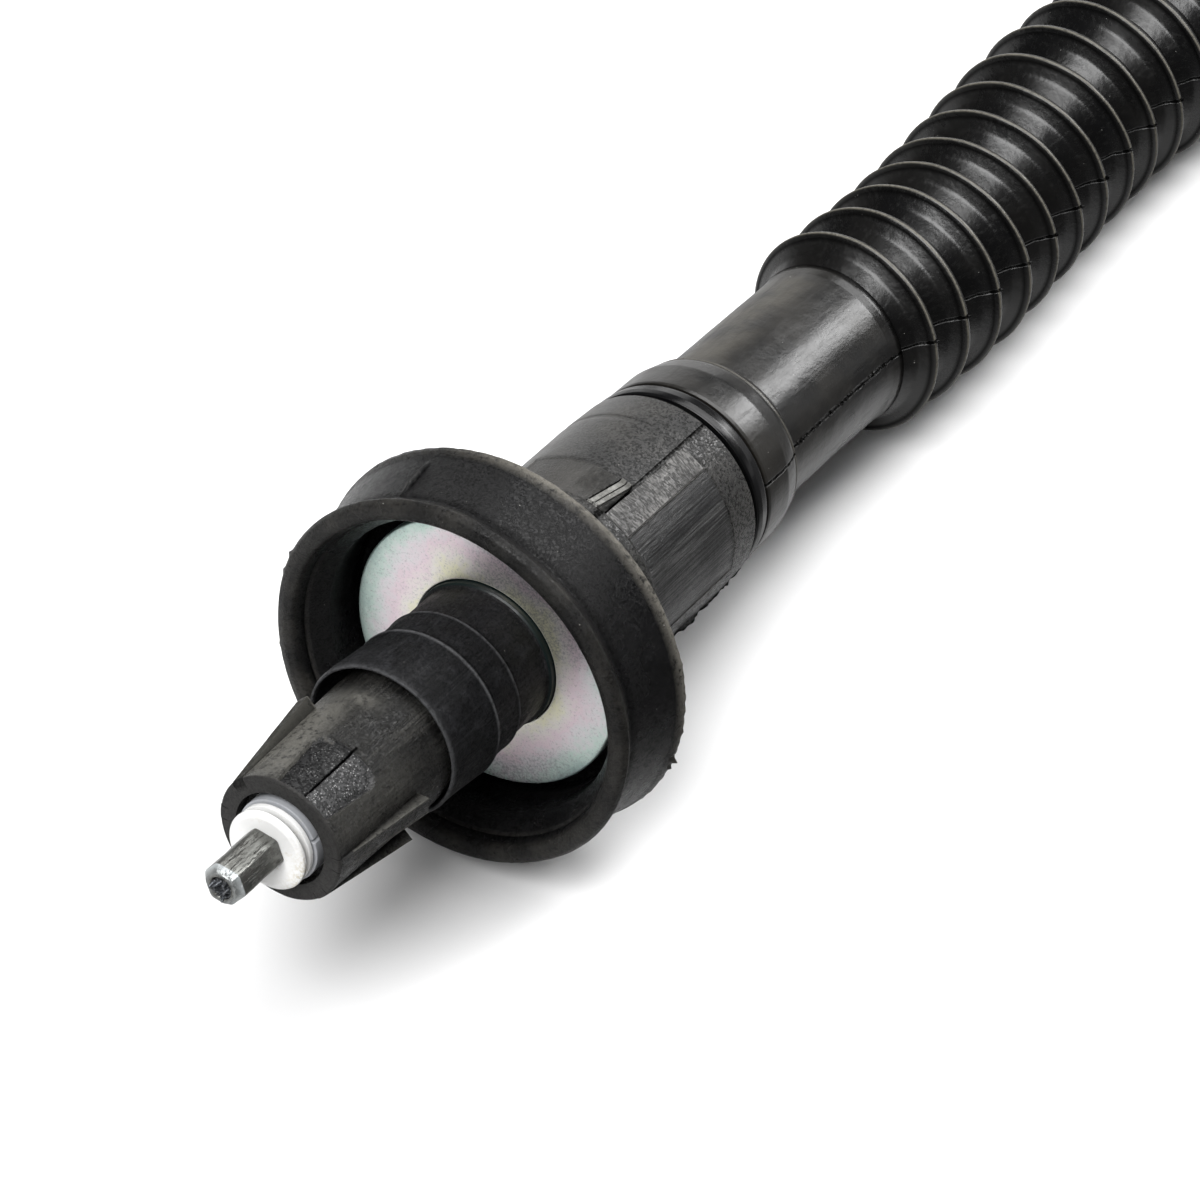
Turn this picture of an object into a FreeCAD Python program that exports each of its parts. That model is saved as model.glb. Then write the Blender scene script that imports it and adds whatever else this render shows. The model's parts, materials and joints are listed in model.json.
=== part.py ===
import FreeCAD, Part
import math
import os
import re
import Sketcher

# End of a self-adjusting clutch cable, lying on a floor. Lengths are in millimetres.
# Every piece is built on one straight axis: local +Z runs from the crimped wire tip to the
# bellows, zero is the front face of the big washer, and local +X is the upper side. The whole
# part is then laid down on its cup and its bellows, with +Z up and the floor at zero.

SIZES = {
    # Big washer, and the clearances between pieces that stay together
    "washer_r": 20.0, "washer_bore_r": 11.0, "washer_thick": 2.0,
    "seat_fit": 0.05, "soft_fit": 0.3,
    # Rubber cup round the washer. A reach is a distance ahead of the washer's face
    "cup_rim_r": 27.9, "cup_rim_at": 4.4, "cup_edge": 0.6, "cup_lip_r": 27.1, "cup_lip_reach": 8.3,
    "cup_lip_round": 2.4, "cup_mouth_r": 24.0, "cup_mouth_reach": 9.0, "cup_groove_r": 24.3,
    "cup_groove_reach": 7.2, "cup_waist_r": 26.1, "cup_waist_reach": 6.3, "cup_throat_r": 22.0,
    "cup_throat_reach": 3.8, "cup_seat_wide": 1.4, "cup_well": 1.6, "cup_web": 3.4,
    "cup_hub_wall": 3.2, "cup_hub_length": 8.0,
    # Two-shell housing
    "body_r": 15.25, "body_taper": 0.25, "body_length": 31.5, "body_wall": 2.05, "band_rise": 0.25,
    "band_length": 5.6, "flange_rise": 2.05, "flange_thick": 2.6, "neck_drop": 1.05,
    "front_wall": 4.0, "rear_wall": 3.5, "cavity_length": 37.0, "wall_bore_r": 6.4,
    "spigot_r": 9.7, "spigot_bore_r": 8.85, "spigot_reach": 13.0,
    "ring_seat_drop": 1.65, "ring_seat_length": 4.2, "tail_drop": 3.65, "tail_wall": 1.7,
    "tail_length": 9.1, "shell_step": 6.2,
    # Shallow panels and the latch window of each shell, as depths, angles from the split and lengths
    "panel_depth": 0.45, "brushed_depth": 0.35, "panel_length": 19.3, "panel_edge_deg": 1.8,
    "panel_deg": 15.6, "brushed_deg": 60.8, "ridge_deg": 0.8, "side_panel_deg": 52.0,
    "side_panel_length": 7.4, "latch_deg": 6.6, "latch_length": 6.6, "latch_depth": 1.0,
    "latch_rib_deg": 2.2, "latch_rib_lead": 0.6, "latch_rib_step": 3.2, "latch_rib_sink": 0.3,
    "slit_deg": 3.6, "side_panel_lead": 8.0, "panel_lead": 0.5, "latch_lead": 0.1,
    # Retaining ring behind the shells
    "ring_drop": 0.5, "ring_gap": 1.25, "ring_length": 2.9, "ring_round": 0.4,
    # Stepped rubber sleeve, sized at its lip, its two ridges and its root
    "sleeve_lip_r": 11.15, "sleeve_bore_r": 10.45, "sleeve_reach": 23.6, "sleeve_mid_r": 10.75,
    "sleeve_rear_r": 10.4, "sleeve_root_r": 10.85, "sleeve_mid_reach": 13.5,
    "sleeve_rear_reach": 8.1, "sleeve_root_reach": 1.0, "sleeve_edge": 0.2,
    # Nose tube that the wire leaves through
    "nose_reach": 46.4, "nose_front_r": 9.05, "nose_rear_r": 9.75, "nose_edge": 0.25,
    "nose_rear_length": 4.2, "nose_travel": 4.0, "nose_stop_gap": 0.8, "nose_slide_fit": 0.1,
    "nose_bore_r": 6.2, "nose_mouth_r": 6.6, "nose_mouth_depth": 2.0, "bush_seat_r": 5.95,
    "bush_seat_depth": 10.4, "cavity_fit": 0.4, "nose_flange_thick": 2.2,
    # Pockets and snap ribs of the nose
    "pocket_depth": 0.5, "pocket_deg": 56.0, "pocket_length": 9.3, "pocket_lip": 0.4,
    "snap_deg": 68.8, "snap_wide": 2.1, "snap_rise": 1.75, "snap_length": 16.4,
    # White guide bush and its split collar
    "bush_out": 2.9, "bush_disc_r": 5.64, "bush_disc_thick": 1.1, "bush_round": 0.45,
    "bush_groove_r": 4.9, "bush_groove_wide": 0.4, "bush_ring_r": 5.55, "bush_ring_wide": 0.9,
    "bush_neck_r": 5.0, "bush_body_length": 7.3, "wire_hole_r": 1.95,
    "collar_r": 5.87, "collar_length": 2.35, "liner_stop": 2.3,
    # Core wire and its crimped sleeve
    "wire_r": 1.7, "crimp_r": 3.15, "crimp_length": 9.0, "crimp_bevel": 0.8, "crimp_gap": 0.1,
    "core_travel": 30.0, "wire_tip_inset": 0.2,
    # Liner tube that telescopes into the rod
    "liner_r": 2.7, "liner_length": 76.0,
    # Toothed adjuster rod, its guide and its spring
    "rod_r": 5.5, "rod_from": 8.0, "rod_length": 104.0, "rod_bore_r": 2.85, "rod_bore_length": 52.0,
    "rod_edge": 0.5, "tooth_depth": 0.6, "tooth_pitch": 2.0, "tooth_count": 15, "tooth_from": 20.0,
    "adjust_teeth": 8, "rod_head_r": 7.0, "rod_head_length": 5.0, "conduit_socket_depth": 14.0,
    "guide_fit": 0.1, "guide_length": 10.0,
    "seat_r": 8.0, "seat_thick": 2.8, "spring_coil_r": 6.95, "spring_wire_r": 0.85,
    "spring_turns": 7, "release_inset": 1.2, "release_wire_r": 0.45, "release_turns": 4,
    "coil_gap": 0.5, "wire_sides": 6,
    # Locking jaws, their cage and the ring that closes them
    "cage_set_back": 13.0, "cage_fit": 0.3, "cage_bore_r": 5.8, "cage_flange_thick": 2.5,
    "jaw_count": 3, "jaw_set_back": 3.0, "jaw_length": 10.0, "jaw_wide": 6.4, "jaw_inset": 3.7,
    "jaw_lift": 0.9, "jaw_fit": 0.15, "tooth_fit": 0.1, "cam_wall": 4.1, "cam_past_jaw": 1.45,
    "cam_fit": 0.1, "cam_lead": 0.5,
    # Bellows: collar, neck and ribs
    "boot_gap": 0.3, "boot_collar_drop": 0.55, "boot_collar_taper": 1.3, "boot_collar_length": 9.7,
    "boot_neck_step": 1.0, "boot_neck_length": 31.87, "boot_wall": 1.5, "rib_count": 18,
    "rib_pitch": 8.43, "rib_r": 15.8, "rib_foot_r": 11.9, "rib_shoulder_r": 13.7,
    "rib_foot_lead": 3.8, "rib_shoulder_lead": 1.6, "rib_crest_wide": 0.9,
    "boot_end_r": 12.7, "boot_end_length": 10.5, "settle_length": 28.0, "touch_down": 125.0,
    # Conduit inside the bellows and the end cap with its socket
    "conduit_r": 3.6, "conduit_bore_r": 2.0, "conduit_lead": 3.0, "conduit_tail": 14.0,
    "cap_r": 10.25, "cap_depth": 11.0, "cap_flange_r": 13.2, "cap_flange_thick": 3.0,
    "cap_boss_r": 8.4, "cap_boss_end_r": 7.6, "cap_boss_length": 12.0, "cap_shoulder": 1.2,
    "socket_r": 4.1,
    # Turn of the housing's split and of the snap ribs about the axis
    "roll_deg": 22.1,
}

# Names that follow from the sizes above. All stations are along the axis from the washer's face.
DERIVED = {
    "body_rear_r": "body_r - body_taper",
    "band_r": "body_r + band_rise",
    "flange_r": "body_r + flange_rise",
    "neck_r": "body_r - neck_drop",
    "cavity_r": "body_r - body_wall",
    "moving_r": "cavity_r - cavity_fit",
    "ring_seat_r": "body_r - ring_seat_drop",
    "tail_r": "body_r - tail_drop",
    "tail_bore_r": "tail_r - tail_wall",
    "ring_r": "body_r - ring_drop",
    "boot_collar_r": "body_r - boot_collar_drop",
    "boot_collar_rear_r": "boot_collar_r - boot_collar_taper",
    "boot_neck_r": "boot_collar_rear_r - boot_neck_step",
    "cup_hub_r": "neck_r + cup_hub_wall",
    "nose_cone_back": "nose_shoulder - nose_rear_length",
    "flange_back": "washer_thick + flange_thick",
    "hub_end": "flange_back + cup_hub_length",
    "shell_back": "hub_end + seat_fit + body_length",
    "band_back": "hub_end + seat_fit + band_length",
    "panel_from": "band_back + panel_lead",
    "latch_from": "panel_from + latch_lead",
    "cavity_from": "washer_thick + front_wall",
    "cavity_to": "cavity_from + cavity_length",
    "guide_from": "cavity_to + rear_wall",
    "tail_from": "shell_back + ring_seat_length",
    "tail_to": "tail_from + tail_length",
    "boot_from": "tail_from + boot_gap",
    "boot_neck_from": "boot_from + boot_collar_length",
    "first_rib": "boot_neck_from + boot_neck_length + rib_foot_lead",
    "nose_shoulder": "0 - spigot_reach - nose_travel - nose_stop_gap",
    "nose_back": "cavity_from + seat_fit + nose_flange_thick",
    "bush_reach": "nose_reach + bush_out",
    "cage_from": "cavity_from + cage_set_back",
    "cage_r": "cam_bore_r - cage_fit",
    "jaw_from": "cage_from + jaw_set_back",
    "jaw_back_r": "moving_r - jaw_inset",
    "cam_bore_r": "moving_r - cam_wall",
    "cam_to": "jaw_from + jaw_length + cam_past_jaw",
    "cam_slot_from": "jaw_from - nose_travel - cam_lead",
    "release_coil_r": "cam_bore_r - release_inset",
    "nose_slide_r": "spigot_bore_r - nose_slide_fit",
    "bush_body_from": "0 - nose_reach + nose_mouth_depth + seat_fit",
    "rod_to": "rod_from + rod_length",
    "seat_back": "rod_to - rod_head_length",
    "seat_from": "seat_back - seat_thick",
    "conduit_from": "rod_to - conduit_socket_depth",
    "liner_from": "0 - nose_reach + nose_mouth_depth + liner_stop",
    "guide_to": "guide_from + guide_length",
    "tooth_root_r": "rod_r - tooth_depth",
    "ramp": "jaw_lift / nose_travel",
    "jaw_middle": "jaw_from + jaw_length / 2",
    "wire_to": "seat_back - 1",
    "wire_from": "0 - bush_reach - crimp_gap - crimp_length + wire_tip_inset",
}

WORD = re.compile(r"[A-Za-z_][A-Za-z_0-9]*")

doc = FreeCAD.newDocument("clutch_cable_end")
sheet = doc.addObject("Spreadsheet::Sheet", "sizes")
for row, (alias, value) in enumerate(SIZES.items(), start=1):
    sheet.set("A%d" % row, alias)
    sheet.set("B%d" % row, str(value))
    sheet.setAlias("B%d" % row, alias)
doc.recompute()


def formula(text):
    """Spell a sum of named sizes so that an expression of the document can read it."""
    def spell(match):
        word = match.group(0)
        if word in DERIVED:
            return "(" + formula(DERIVED[word]) + ")"
        return "sizes." + word if word in SIZES else word
    return WORD.sub(spell, text)


def size(text):
    """The value in millimetres of a sum of named sizes."""
    return float(sheet.evalExpression(formula(text)))


def bind(thing, **texts):
    """Tie properties of a document object to sums of named sizes."""
    for name, text in texts.items():
        thing.setExpression(name, formula(text))
    return thing


def about_axis(degrees, along=0.0, out=0.0):
    """A placement turned about the axis, then moved out along its own X and along the axis."""
    turn = FreeCAD.Rotation(FreeCAD.Vector(0, 0, 1), degrees)
    return FreeCAD.Placement(turn.multVec(FreeCAD.Vector(out, 0, 0)) + FreeCAD.Vector(0, 0, along), turn)


# Turned pieces: a closed half section of (radius, station) corners, spun about the axis.
# A corner may carry the radius of a rounded run to the next corner: (radius, station, round).

def draw_section(body, name, corners):
    """Draw a closed half section in a sketch whose corners are all tied to the sheet."""
    sketch = body.newObject("Sketcher::SketchObject", name)
    plane = [f for f in body.Origin.OriginFeatures if f.Role == "XZ_Plane"][0]
    sketch.AttachmentSupport = (plane, "")
    sketch.MapMode = "FlatFace"
    spots = [FreeCAD.Vector(size(c[0]), size(c[1]), 0) for c in corners]
    ends = []
    for i, corner in enumerate(corners):
        a, b = spots[i], spots[(i + 1) % len(spots)]
        if len(corner) == 2:
            edge = sketch.addGeometry(Part.LineSegment(a, b), False)
            ends.append((edge, 1, 2))
            continue
        # The round bulges to the left of the run for a plus sign, to the right for a minus sign
        bulge = -1 if corner[2].startswith("-") else 1
        radius = size(corner[2].lstrip("-"))
        chord = b - a
        half = chord.Length / 2
        left = FreeCAD.Vector(-chord.y, chord.x, 0).normalize() * bulge
        centre = (a + b) * 0.5 - left * math.sqrt(max(radius ** 2 - half ** 2, 0))
        first, last = (b, a) if bulge > 0 else (a, b)
        start = math.atan2(first.y - centre.y, first.x - centre.x)
        stop = math.atan2(last.y - centre.y, last.x - centre.x)
        circle = Part.Circle(centre, FreeCAD.Vector(0, 0, 1), radius)
        edge = sketch.addGeometry(Part.ArcOfCircle(circle, start, stop), False)
        at = sketch.addConstraint(Sketcher.Constraint("Radius", edge, radius))
        sketch.setExpression("Constraints[%d]" % at, formula(corner[2].lstrip("-")))
        ends.append((edge, 2, 1) if bulge > 0 else (edge, 1, 2))
    for i, (edge, start, stop) in enumerate(ends):
        after = ends[(i + 1) % len(ends)]
        sketch.addConstraint(Sketcher.Constraint("Coincident", edge, stop, after[0], after[1]))
        for way, text in (("DistanceX", corners[i][0]), ("DistanceY", corners[i][1])):
            at = sketch.addConstraint(Sketcher.Constraint(way, -1, 1, edge, start, size(text)))
            sketch.setExpression("Constraints[%d]" % at, formula(text))
    return sketch


def turned(name, corners, degrees=360.0):
    """Spin a half section about the axis into a body."""
    body = doc.addObject("PartDesign::Body", name)
    sketch = draw_section(body, name + "_section", corners)
    spin = body.newObject("PartDesign::Revolution", name + "_spin")
    spin.Profile = sketch
    spin.ReferenceAxis = (sketch, ["V_Axis"])
    spin.Angle = degrees
    doc.recompute()
    return body


def grooved(name, corners, groove):
    """A turned body with a V groove repeated along the toothed stretch."""
    body = turned(name, corners)
    sketch = draw_section(body, name + "_tooth_section", groove)
    notch = body.newObject("PartDesign::Groove", name + "_tooth")
    notch.Profile = sketch
    notch.ReferenceAxis = (sketch, ["V_Axis"])
    notch.Angle = 360.0
    doc.recompute()
    pattern = body.newObject("PartDesign::LinearPattern", name + "_teeth")
    pattern.Originals = [notch]
    axis = [f for f in body.Origin.OriginFeatures if f.Role == "Z_Axis"][0]
    pattern.Direction = (axis, [""])
    bind(pattern, Length="tooth_pitch * (tooth_count - 1)", Occurrences="tooth_count")
    body.Tip = pattern
    doc.recompute()
    return body


def cylinder(name, radius, start, length, degrees=None, turn="0"):
    """A plain cylinder, or a sector of one, along the axis."""
    piece = doc.addObject("Part::Cylinder", name)
    bind(piece, Radius=radius, Height=length)
    piece.Placement = about_axis(size(turn), size(start))
    if degrees:
        bind(piece, Angle=degrees)
    return piece


def cut(name, base, *tools):
    """Take the tools away from the base, one after the other."""
    for i, tool in enumerate(tools):
        label = name if i == len(tools) - 1 else "%s_less_%d" % (name, i + 1)
        step = doc.addObject("Part::Cut", label)
        step.Base = base
        step.Tool = tool
        base = step
    doc.recompute()
    return base


def fuse(name, *pieces):
    """Join pieces into one solid."""
    whole = doc.addObject("Part::MultiFuse", name)
    whole.Shapes = list(pieces)
    doc.recompute()
    return whole


def ring_sector(name, inner, outer, start, length, turn, degrees):
    """A stretch of a tube that spans part of a turn, used to sink panels or to stand ribs."""
    full = cylinder(name + "_outer", outer, start, length, degrees, turn)
    core = cylinder(name + "_core", inner, start + " - 1", length + " + 2")
    return cut(name, full, core)


def wedge(name, front, rear, wide, start, length, turn, out=0.0):
    """A block along the axis from its centre line out to a back that rises from front to rear."""
    block = doc.addObject("Part::Wedge", name)
    bind(block, Xmin=front[0], Xmax=front[1], X2min=rear[0], X2max=rear[1], Ymin="0", Ymax=length,
         Zmin="0 - (%s) / 2" % wide, Z2min="0 - (%s) / 2" % wide, Zmax="(%s) / 2" % wide,
         Z2max="(%s) / 2" % wide)
    lay = FreeCAD.Placement(FreeCAD.Vector(), FreeCAD.Rotation(
        FreeCAD.Vector(1, 0, 0), FreeCAD.Vector(0, 0, 1), FreeCAD.Vector(0, -1, 0), "XYZ"))
    block.Placement = about_axis(turn, size(start), out).multiply(lay)
    return block


# The way the part lies: the cup's rim and the ribs past the touch-down station meet the floor

def lie_angle():
    """Slope of the axis in radians, down towards the bellows."""
    run = size("touch_down - cup_rim_at")
    rim = size("cup_rim_r")
    return math.atan2(rim, run) - math.asin(size("rib_r") / math.hypot(rim, run))


SLOPE = lie_angle()

# Sideways headings of the bellows in degrees, at distances behind its collar
SWAY = ((11.0, 0.0), (31.0, 1.1), (51.0, 4.8), (76.0, -1.4), (101.0, -1.0), (126.0, 7.1),
        (152.0, 7.2), (196.0, 15.0))
STEP = 0.5


def between(pairs, at):
    """Straight-line reading of a table of (distance, value) pairs."""
    for (a, low), (b, high) in zip(pairs, pairs[1:]):
        if a <= at <= b:
            return low + (high - low) * (at - a) / (b - a)
    return pairs[0][1] if at < pairs[0][0] else pairs[-1][1]


def heading(at):
    """Direction of the bellows at a distance along its centre line."""
    start = size("touch_down - settle_length / 2")
    rise = SLOPE * between(((start, 0.0), (start + size("settle_length"), 1.0)), at)
    sway = math.radians(between(SWAY, at - size("boot_from")))
    return FreeCAD.Vector(math.cos(sway) * math.sin(rise), math.sin(sway), math.cos(sway) * math.cos(rise))


def trace(stations):
    """Placements of the bellows' cross sections, each with its X axis kept on the upper side."""
    found = []
    at, spot = size("boot_from"), FreeCAD.Vector(0, 0, size("boot_from"))
    for goal in stations:
        while at < goal - 1e-9:
            run = min(STEP, goal - at)
            spot = spot + heading(at + run / 2) * run
            at += run
        ahead = heading(at)
        side = ahead.cross(FreeCAD.Vector(1, 0, 0)).normalize()
        turn = FreeCAD.Rotation(side.cross(ahead), side, ahead, "ZXY")
        found.append(FreeCAD.Placement(spot, turn))
    return found


def loft(profile, places):
    """A ruled solid through one circle at each place."""
    wires = []
    for radius, place in zip(profile, places):
        circle = Part.makeCircle(radius)
        circle.Placement = place
        wires.append(Part.Wire([circle]))
    return Part.makeLoft(wires, True, True)


def feature(name, shape):
    """Keep a shape made in code as an object of the document."""
    thing = doc.addObject("Part::Feature", name)
    thing.Shape = shape
    return thing


# Tubes along joined arcs: springs and the conduit

def arc_pair(a, ahead_a, b, ahead_b):
    """Two arcs that leave a along ahead_a, meet smoothly and reach b along ahead_b."""
    v, t = b - a, ahead_a + ahead_b
    k = 2 - 2 * ahead_a.dot(ahead_b)
    vt, vv = v.dot(t), v.dot(v)
    reach = vv / (2 * vt) if k < 1e-9 else (-vt + math.sqrt(vt * vt + k * vv)) / k
    knee_a, knee_b = a + ahead_a * reach, b - ahead_b * reach
    joint = (knee_a + knee_b) * 0.5
    return [arc_edge(a, knee_a, joint), arc_edge(joint, knee_b, b)]


def arc_edge(start, knee, end):
    """The arc from start to end whose end tangents cross at the knee, or a line if it is straight."""
    middle = (start + end) * 0.5
    half, lift = (end - start).Length / 2, (knee - middle).Length
    if lift < 1e-6:
        return Part.LineSegment(start, end).toShape()
    rise = half * math.tan(math.atan2(lift, half) / 2)
    return Part.Arc(start, middle + (knee - middle) * (rise / lift), end).toShape()


def pipe(radius, edges):
    """A round tube swept along joined edges."""
    path = Part.Wire(edges)
    first = edges[0]
    circle = Part.Circle(first.valueAt(first.FirstParameter), first.tangentAt(first.FirstParameter), radius)
    sweep = Part.BRepOffsetAPI.MakePipeShell(path)
    sweep.add(Part.Wire([circle.toShape()]))
    sweep.build()
    sweep.makeSolid()
    return sweep.shape()


def faceted_wire(radius, arcs):
    """A wire with flat sides, each arc's stretch turned on from the section that ends the last."""
    sides = int(size("wire_sides"))
    spot, ahead = arcs[0].valueAt(arcs[0].FirstParameter), arcs[0].tangentAt(arcs[0].FirstParameter)
    side = ahead.cross(FreeCAD.Vector(0, 0, 1)).normalize()
    turn = FreeCAD.Rotation(ahead, 360.0 / sides)
    corners = [side * radius]
    for _ in range(sides):
        corners.append(turn.multVec(corners[-1]))
    section = Part.Face(Part.makePolygon([spot + c for c in corners[:-1]] + [spot + corners[0]]))
    stretches = []
    for arc in arcs:
        angle = math.degrees(arc.LastParameter - arc.FirstParameter)
        stretches.append(section.revolve(arc.Curve.Center, arc.Curve.Axis, angle))
        section = section.copy()
        section.rotate(arc.Curve.Center, arc.Curve.Axis, angle)
    return stretches[0].multiFuse(stretches[1:]).Solids[0]


def coil(name, coil_r, wire_r, start, end, turns):
    """A compression spring between two stations, with a flat turn at each end."""
    lead = 2 * wire_r + size("coil_gap")
    low, high = start + wire_r, end - wire_r
    rates = [lead] + [(high - low - 2 * lead) / (turns - 2)] * (turns - 2) + [lead]
    spots, at = [], low
    for turn in range(turns):
        for half in range(2):
            spots.append((math.pi * (2 * turn + half), at, rates[turn]))
            at += rates[turn] / 2
    spots.append((2 * math.pi * turns, at, rates[-1]))

    def spot(angle, z):
        return FreeCAD.Vector(coil_r * math.cos(angle), coil_r * math.sin(angle), z)

    def ahead(angle, rate):
        return FreeCAD.Vector(-math.sin(angle), math.cos(angle), rate / (2 * math.pi * coil_r)).normalize()

    edges = []
    for (a, za, rate), (b, zb, _) in zip(spots, spots[1:]):
        edges += arc_pair(spot(a, za), ahead(a, rate), spot(b, zb), ahead(b, rate))
    points = [p for e in edges for p in e.discretize(9)]
    gap = min((p - q).Length for i, p in enumerate(points) for q in points[i + 30:]) - 2 * wire_r
    print("least gap of %s to itself: %.2f mm" % (name, gap))
    wire = faceted_wire(wire_r, edges)
    sides = size("wire_sides")
    section = sides / 2 * wire_r ** 2 * math.sin(2 * math.pi / sides)
    print("volume of %s over section times length: %.4f"
          % (name, wire.Volume / (section * sum(e.Length for e in edges))))
    return feature(name, wire)


# Washer, rubber cup and stepped sleeve

def make_washer():
    return turned("thrust_washer", [
        ("washer_bore_r", "0"), ("washer_r", "0"), ("washer_r", "washer_thick"),
        ("washer_bore_r", "washer_thick")])


def make_cup():
    return turned("rubber_cup", [
        ("cup_throat_r", "0 - cup_throat_reach"), ("cup_groove_r", "0 - cup_groove_reach"),
        ("cup_mouth_r", "0 - cup_mouth_reach", "-cup_lip_round"), ("cup_lip_r", "0 - cup_lip_reach"),
        ("cup_waist_r", "0 - cup_waist_reach"), ("cup_rim_r", "cup_rim_at"),
        ("cup_rim_r - cup_edge", "cup_rim_at + cup_edge"),
        ("cup_hub_r + 1", "washer_thick + cup_well + cup_web"), ("cup_hub_r", "hub_end"),
        ("neck_r + seat_fit", "hub_end"), ("neck_r + seat_fit", "flange_back"),
        ("flange_r + seat_fit", "flange_back"), ("flange_r + seat_fit", "washer_thick"),
        ("flange_r + seat_fit + cup_seat_wide", "washer_thick"),
        ("flange_r + seat_fit + cup_seat_wide", "washer_thick + cup_well"),
        ("cup_throat_r", "washer_thick + cup_well")])


def make_sleeve():
    return turned("stepped_sleeve", [
        ("spigot_r + seat_fit", "washer_thick"), ("spigot_r + seat_fit", "0 - spigot_reach"),
        ("sleeve_bore_r", "0 - spigot_reach - 1.5"),
        ("sleeve_bore_r", "0 - sleeve_reach"), ("sleeve_lip_r - sleeve_edge", "0 - sleeve_reach"),
        ("sleeve_lip_r", "sleeve_edge - sleeve_reach"),
        ("sleeve_lip_r", "0 - sleeve_mid_reach"), ("sleeve_mid_r", "0.4 - sleeve_mid_reach"),
        ("sleeve_mid_r", "0 - sleeve_rear_reach"), ("sleeve_rear_r", "0.4 - sleeve_rear_reach"),
        ("sleeve_rear_r", "0 - sleeve_root_reach"), ("sleeve_root_r", "0.3 - sleeve_root_reach"),
        ("sleeve_root_r", "washer_thick")])


# Housing shells: two equal mouldings, each half a turn, with sunk panels and a latch window

SHELL = [
    ("spigot_bore_r", "0 - spigot_reach"), ("spigot_r", "0 - spigot_reach"),
    ("spigot_r", "washer_thick"), ("flange_r", "washer_thick"), ("flange_r", "flange_back"),
    ("neck_r", "flange_back"), ("neck_r", "hub_end + seat_fit"), ("band_r", "hub_end + seat_fit"),
    ("band_r", "band_back"), ("body_r", "panel_from"), ("body_r", "shell_back - shell_step"),
    ("body_rear_r", "shell_back"), ("ring_seat_r", "shell_back"), ("ring_seat_r", "tail_from"),
    ("tail_r", "tail_from"), ("tail_r", "tail_to"), ("tail_bore_r", "tail_to"),
    ("tail_bore_r", "guide_from"), ("wall_bore_r", "guide_from"), ("wall_bore_r", "cavity_to"),
    ("cavity_r", "cavity_to"), ("cavity_r", "cavity_from"),
    ("spigot_bore_r", "cavity_from")]


def make_shell(name):
    """One half shell, from the split at zero degrees round to the split at 180 degrees."""
    half = turned(name + "_blank", SHELL, 180.0)
    if half.Shape.BoundBox.YMax < size("body_r / 2"):
        half.getObject(name + "_blank_spin").Reversed = True
        doc.recompute()
    outside = "band_r + 1"
    tools = [
        ring_sector(name + "_panel", "body_r - panel_depth", outside, "panel_from", "panel_length",
                    "panel_edge_deg", "panel_deg"),
        ring_sector(name + "_brushed", "body_r - brushed_depth", outside, "panel_from", "panel_length",
                    "panel_edge_deg + panel_deg + ridge_deg", "brushed_deg"),
        ring_sector(name + "_side_panel", "body_r - panel_depth", outside, "panel_from",
                    "side_panel_length", "180 - side_panel_lead - side_panel_deg", "side_panel_deg"),
        ring_sector(name + "_latch", "body_r - latch_depth", outside, "latch_from", "latch_length",
                    "180 - latch_deg", "latch_deg"),
        ring_sector(name + "_slit", "cavity_r - 1", outside, "latch_from",
                    "latch_length - latch_rib_sink", "0", "slit_deg")]
    shell = cut(name + "_sunk", half, *tools)
    ribs = [ring_sector("%s_latch_rib_%d" % (name, i + 1), "body_r - latch_depth - latch_rib_sink",
                        "body_r", "panel_from", "latch_length + latch_rib_sink",
                        "180 - latch_rib_lead - %d * latch_rib_step - latch_rib_deg" % i, "latch_rib_deg")
            for i in range(2)]
    return fuse(name, shell, *ribs)


def make_ring():
    return turned("retaining_ring", [
        ("ring_seat_r + seat_fit", "shell_back + ring_gap"),
        ("ring_r - ring_round", "shell_back + ring_gap"),
        ("ring_r", "shell_back + ring_gap + ring_round"),
        ("ring_r", "shell_back + ring_gap + ring_length - ring_round"),
        ("ring_r - ring_round", "shell_back + ring_gap + ring_length"),
        ("ring_seat_r + seat_fit", "shell_back + ring_gap + ring_length")])


# Nose: tube with pockets and snap ribs, guide bush, split collar, liner and closing ring

def make_nose():
    tube = turned("nose_tube_blank", [
        ("nose_mouth_r", "0 - nose_reach"), ("nose_front_r - nose_edge", "0 - nose_reach"),
        ("nose_front_r", "nose_edge - nose_reach"), ("nose_rear_r", "nose_cone_back"),
        ("nose_rear_r", "nose_shoulder"), ("nose_slide_r", "nose_shoulder"),
        ("nose_slide_r", "cavity_from + seat_fit"), ("moving_r", "cavity_from + seat_fit"),
        ("moving_r", "nose_back"), ("nose_bore_r", "nose_back"),
        ("nose_bore_r", "bush_seat_depth - nose_reach"), ("bush_seat_r", "bush_seat_depth - nose_reach"),
        ("bush_seat_r", "nose_mouth_depth - nose_reach"), ("nose_mouth_r", "nose_mouth_depth - nose_reach")])
    pockets = [
        ring_sector("nose_pocket_%d" % (i + 1), "nose_front_r - pocket_depth", "nose_rear_r + 1",
                    "pocket_lip - nose_reach", "pocket_length", "%d - pocket_deg / 2" % turn, "pocket_deg")
        for i, turn in enumerate((0, 180))]
    sunk = cut("nose_tube_sunk", tube, *pockets)
    base = "nose_front_r - 1"
    turns = [side * (90 + lean * (90 - size("snap_deg"))) for side in (1, -1) for lean in (1, -1)]
    ribs = [wedge("snap_rib_%d" % (i + 1), (base, "nose_front_r - 0.1"), (base, "nose_front_r + snap_rise"),
                  "snap_wide", "0.2 - nose_reach", "snap_length", turn)
            for i, turn in enumerate(turns)]
    return fuse("nose_tube", sunk, *ribs)


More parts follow.
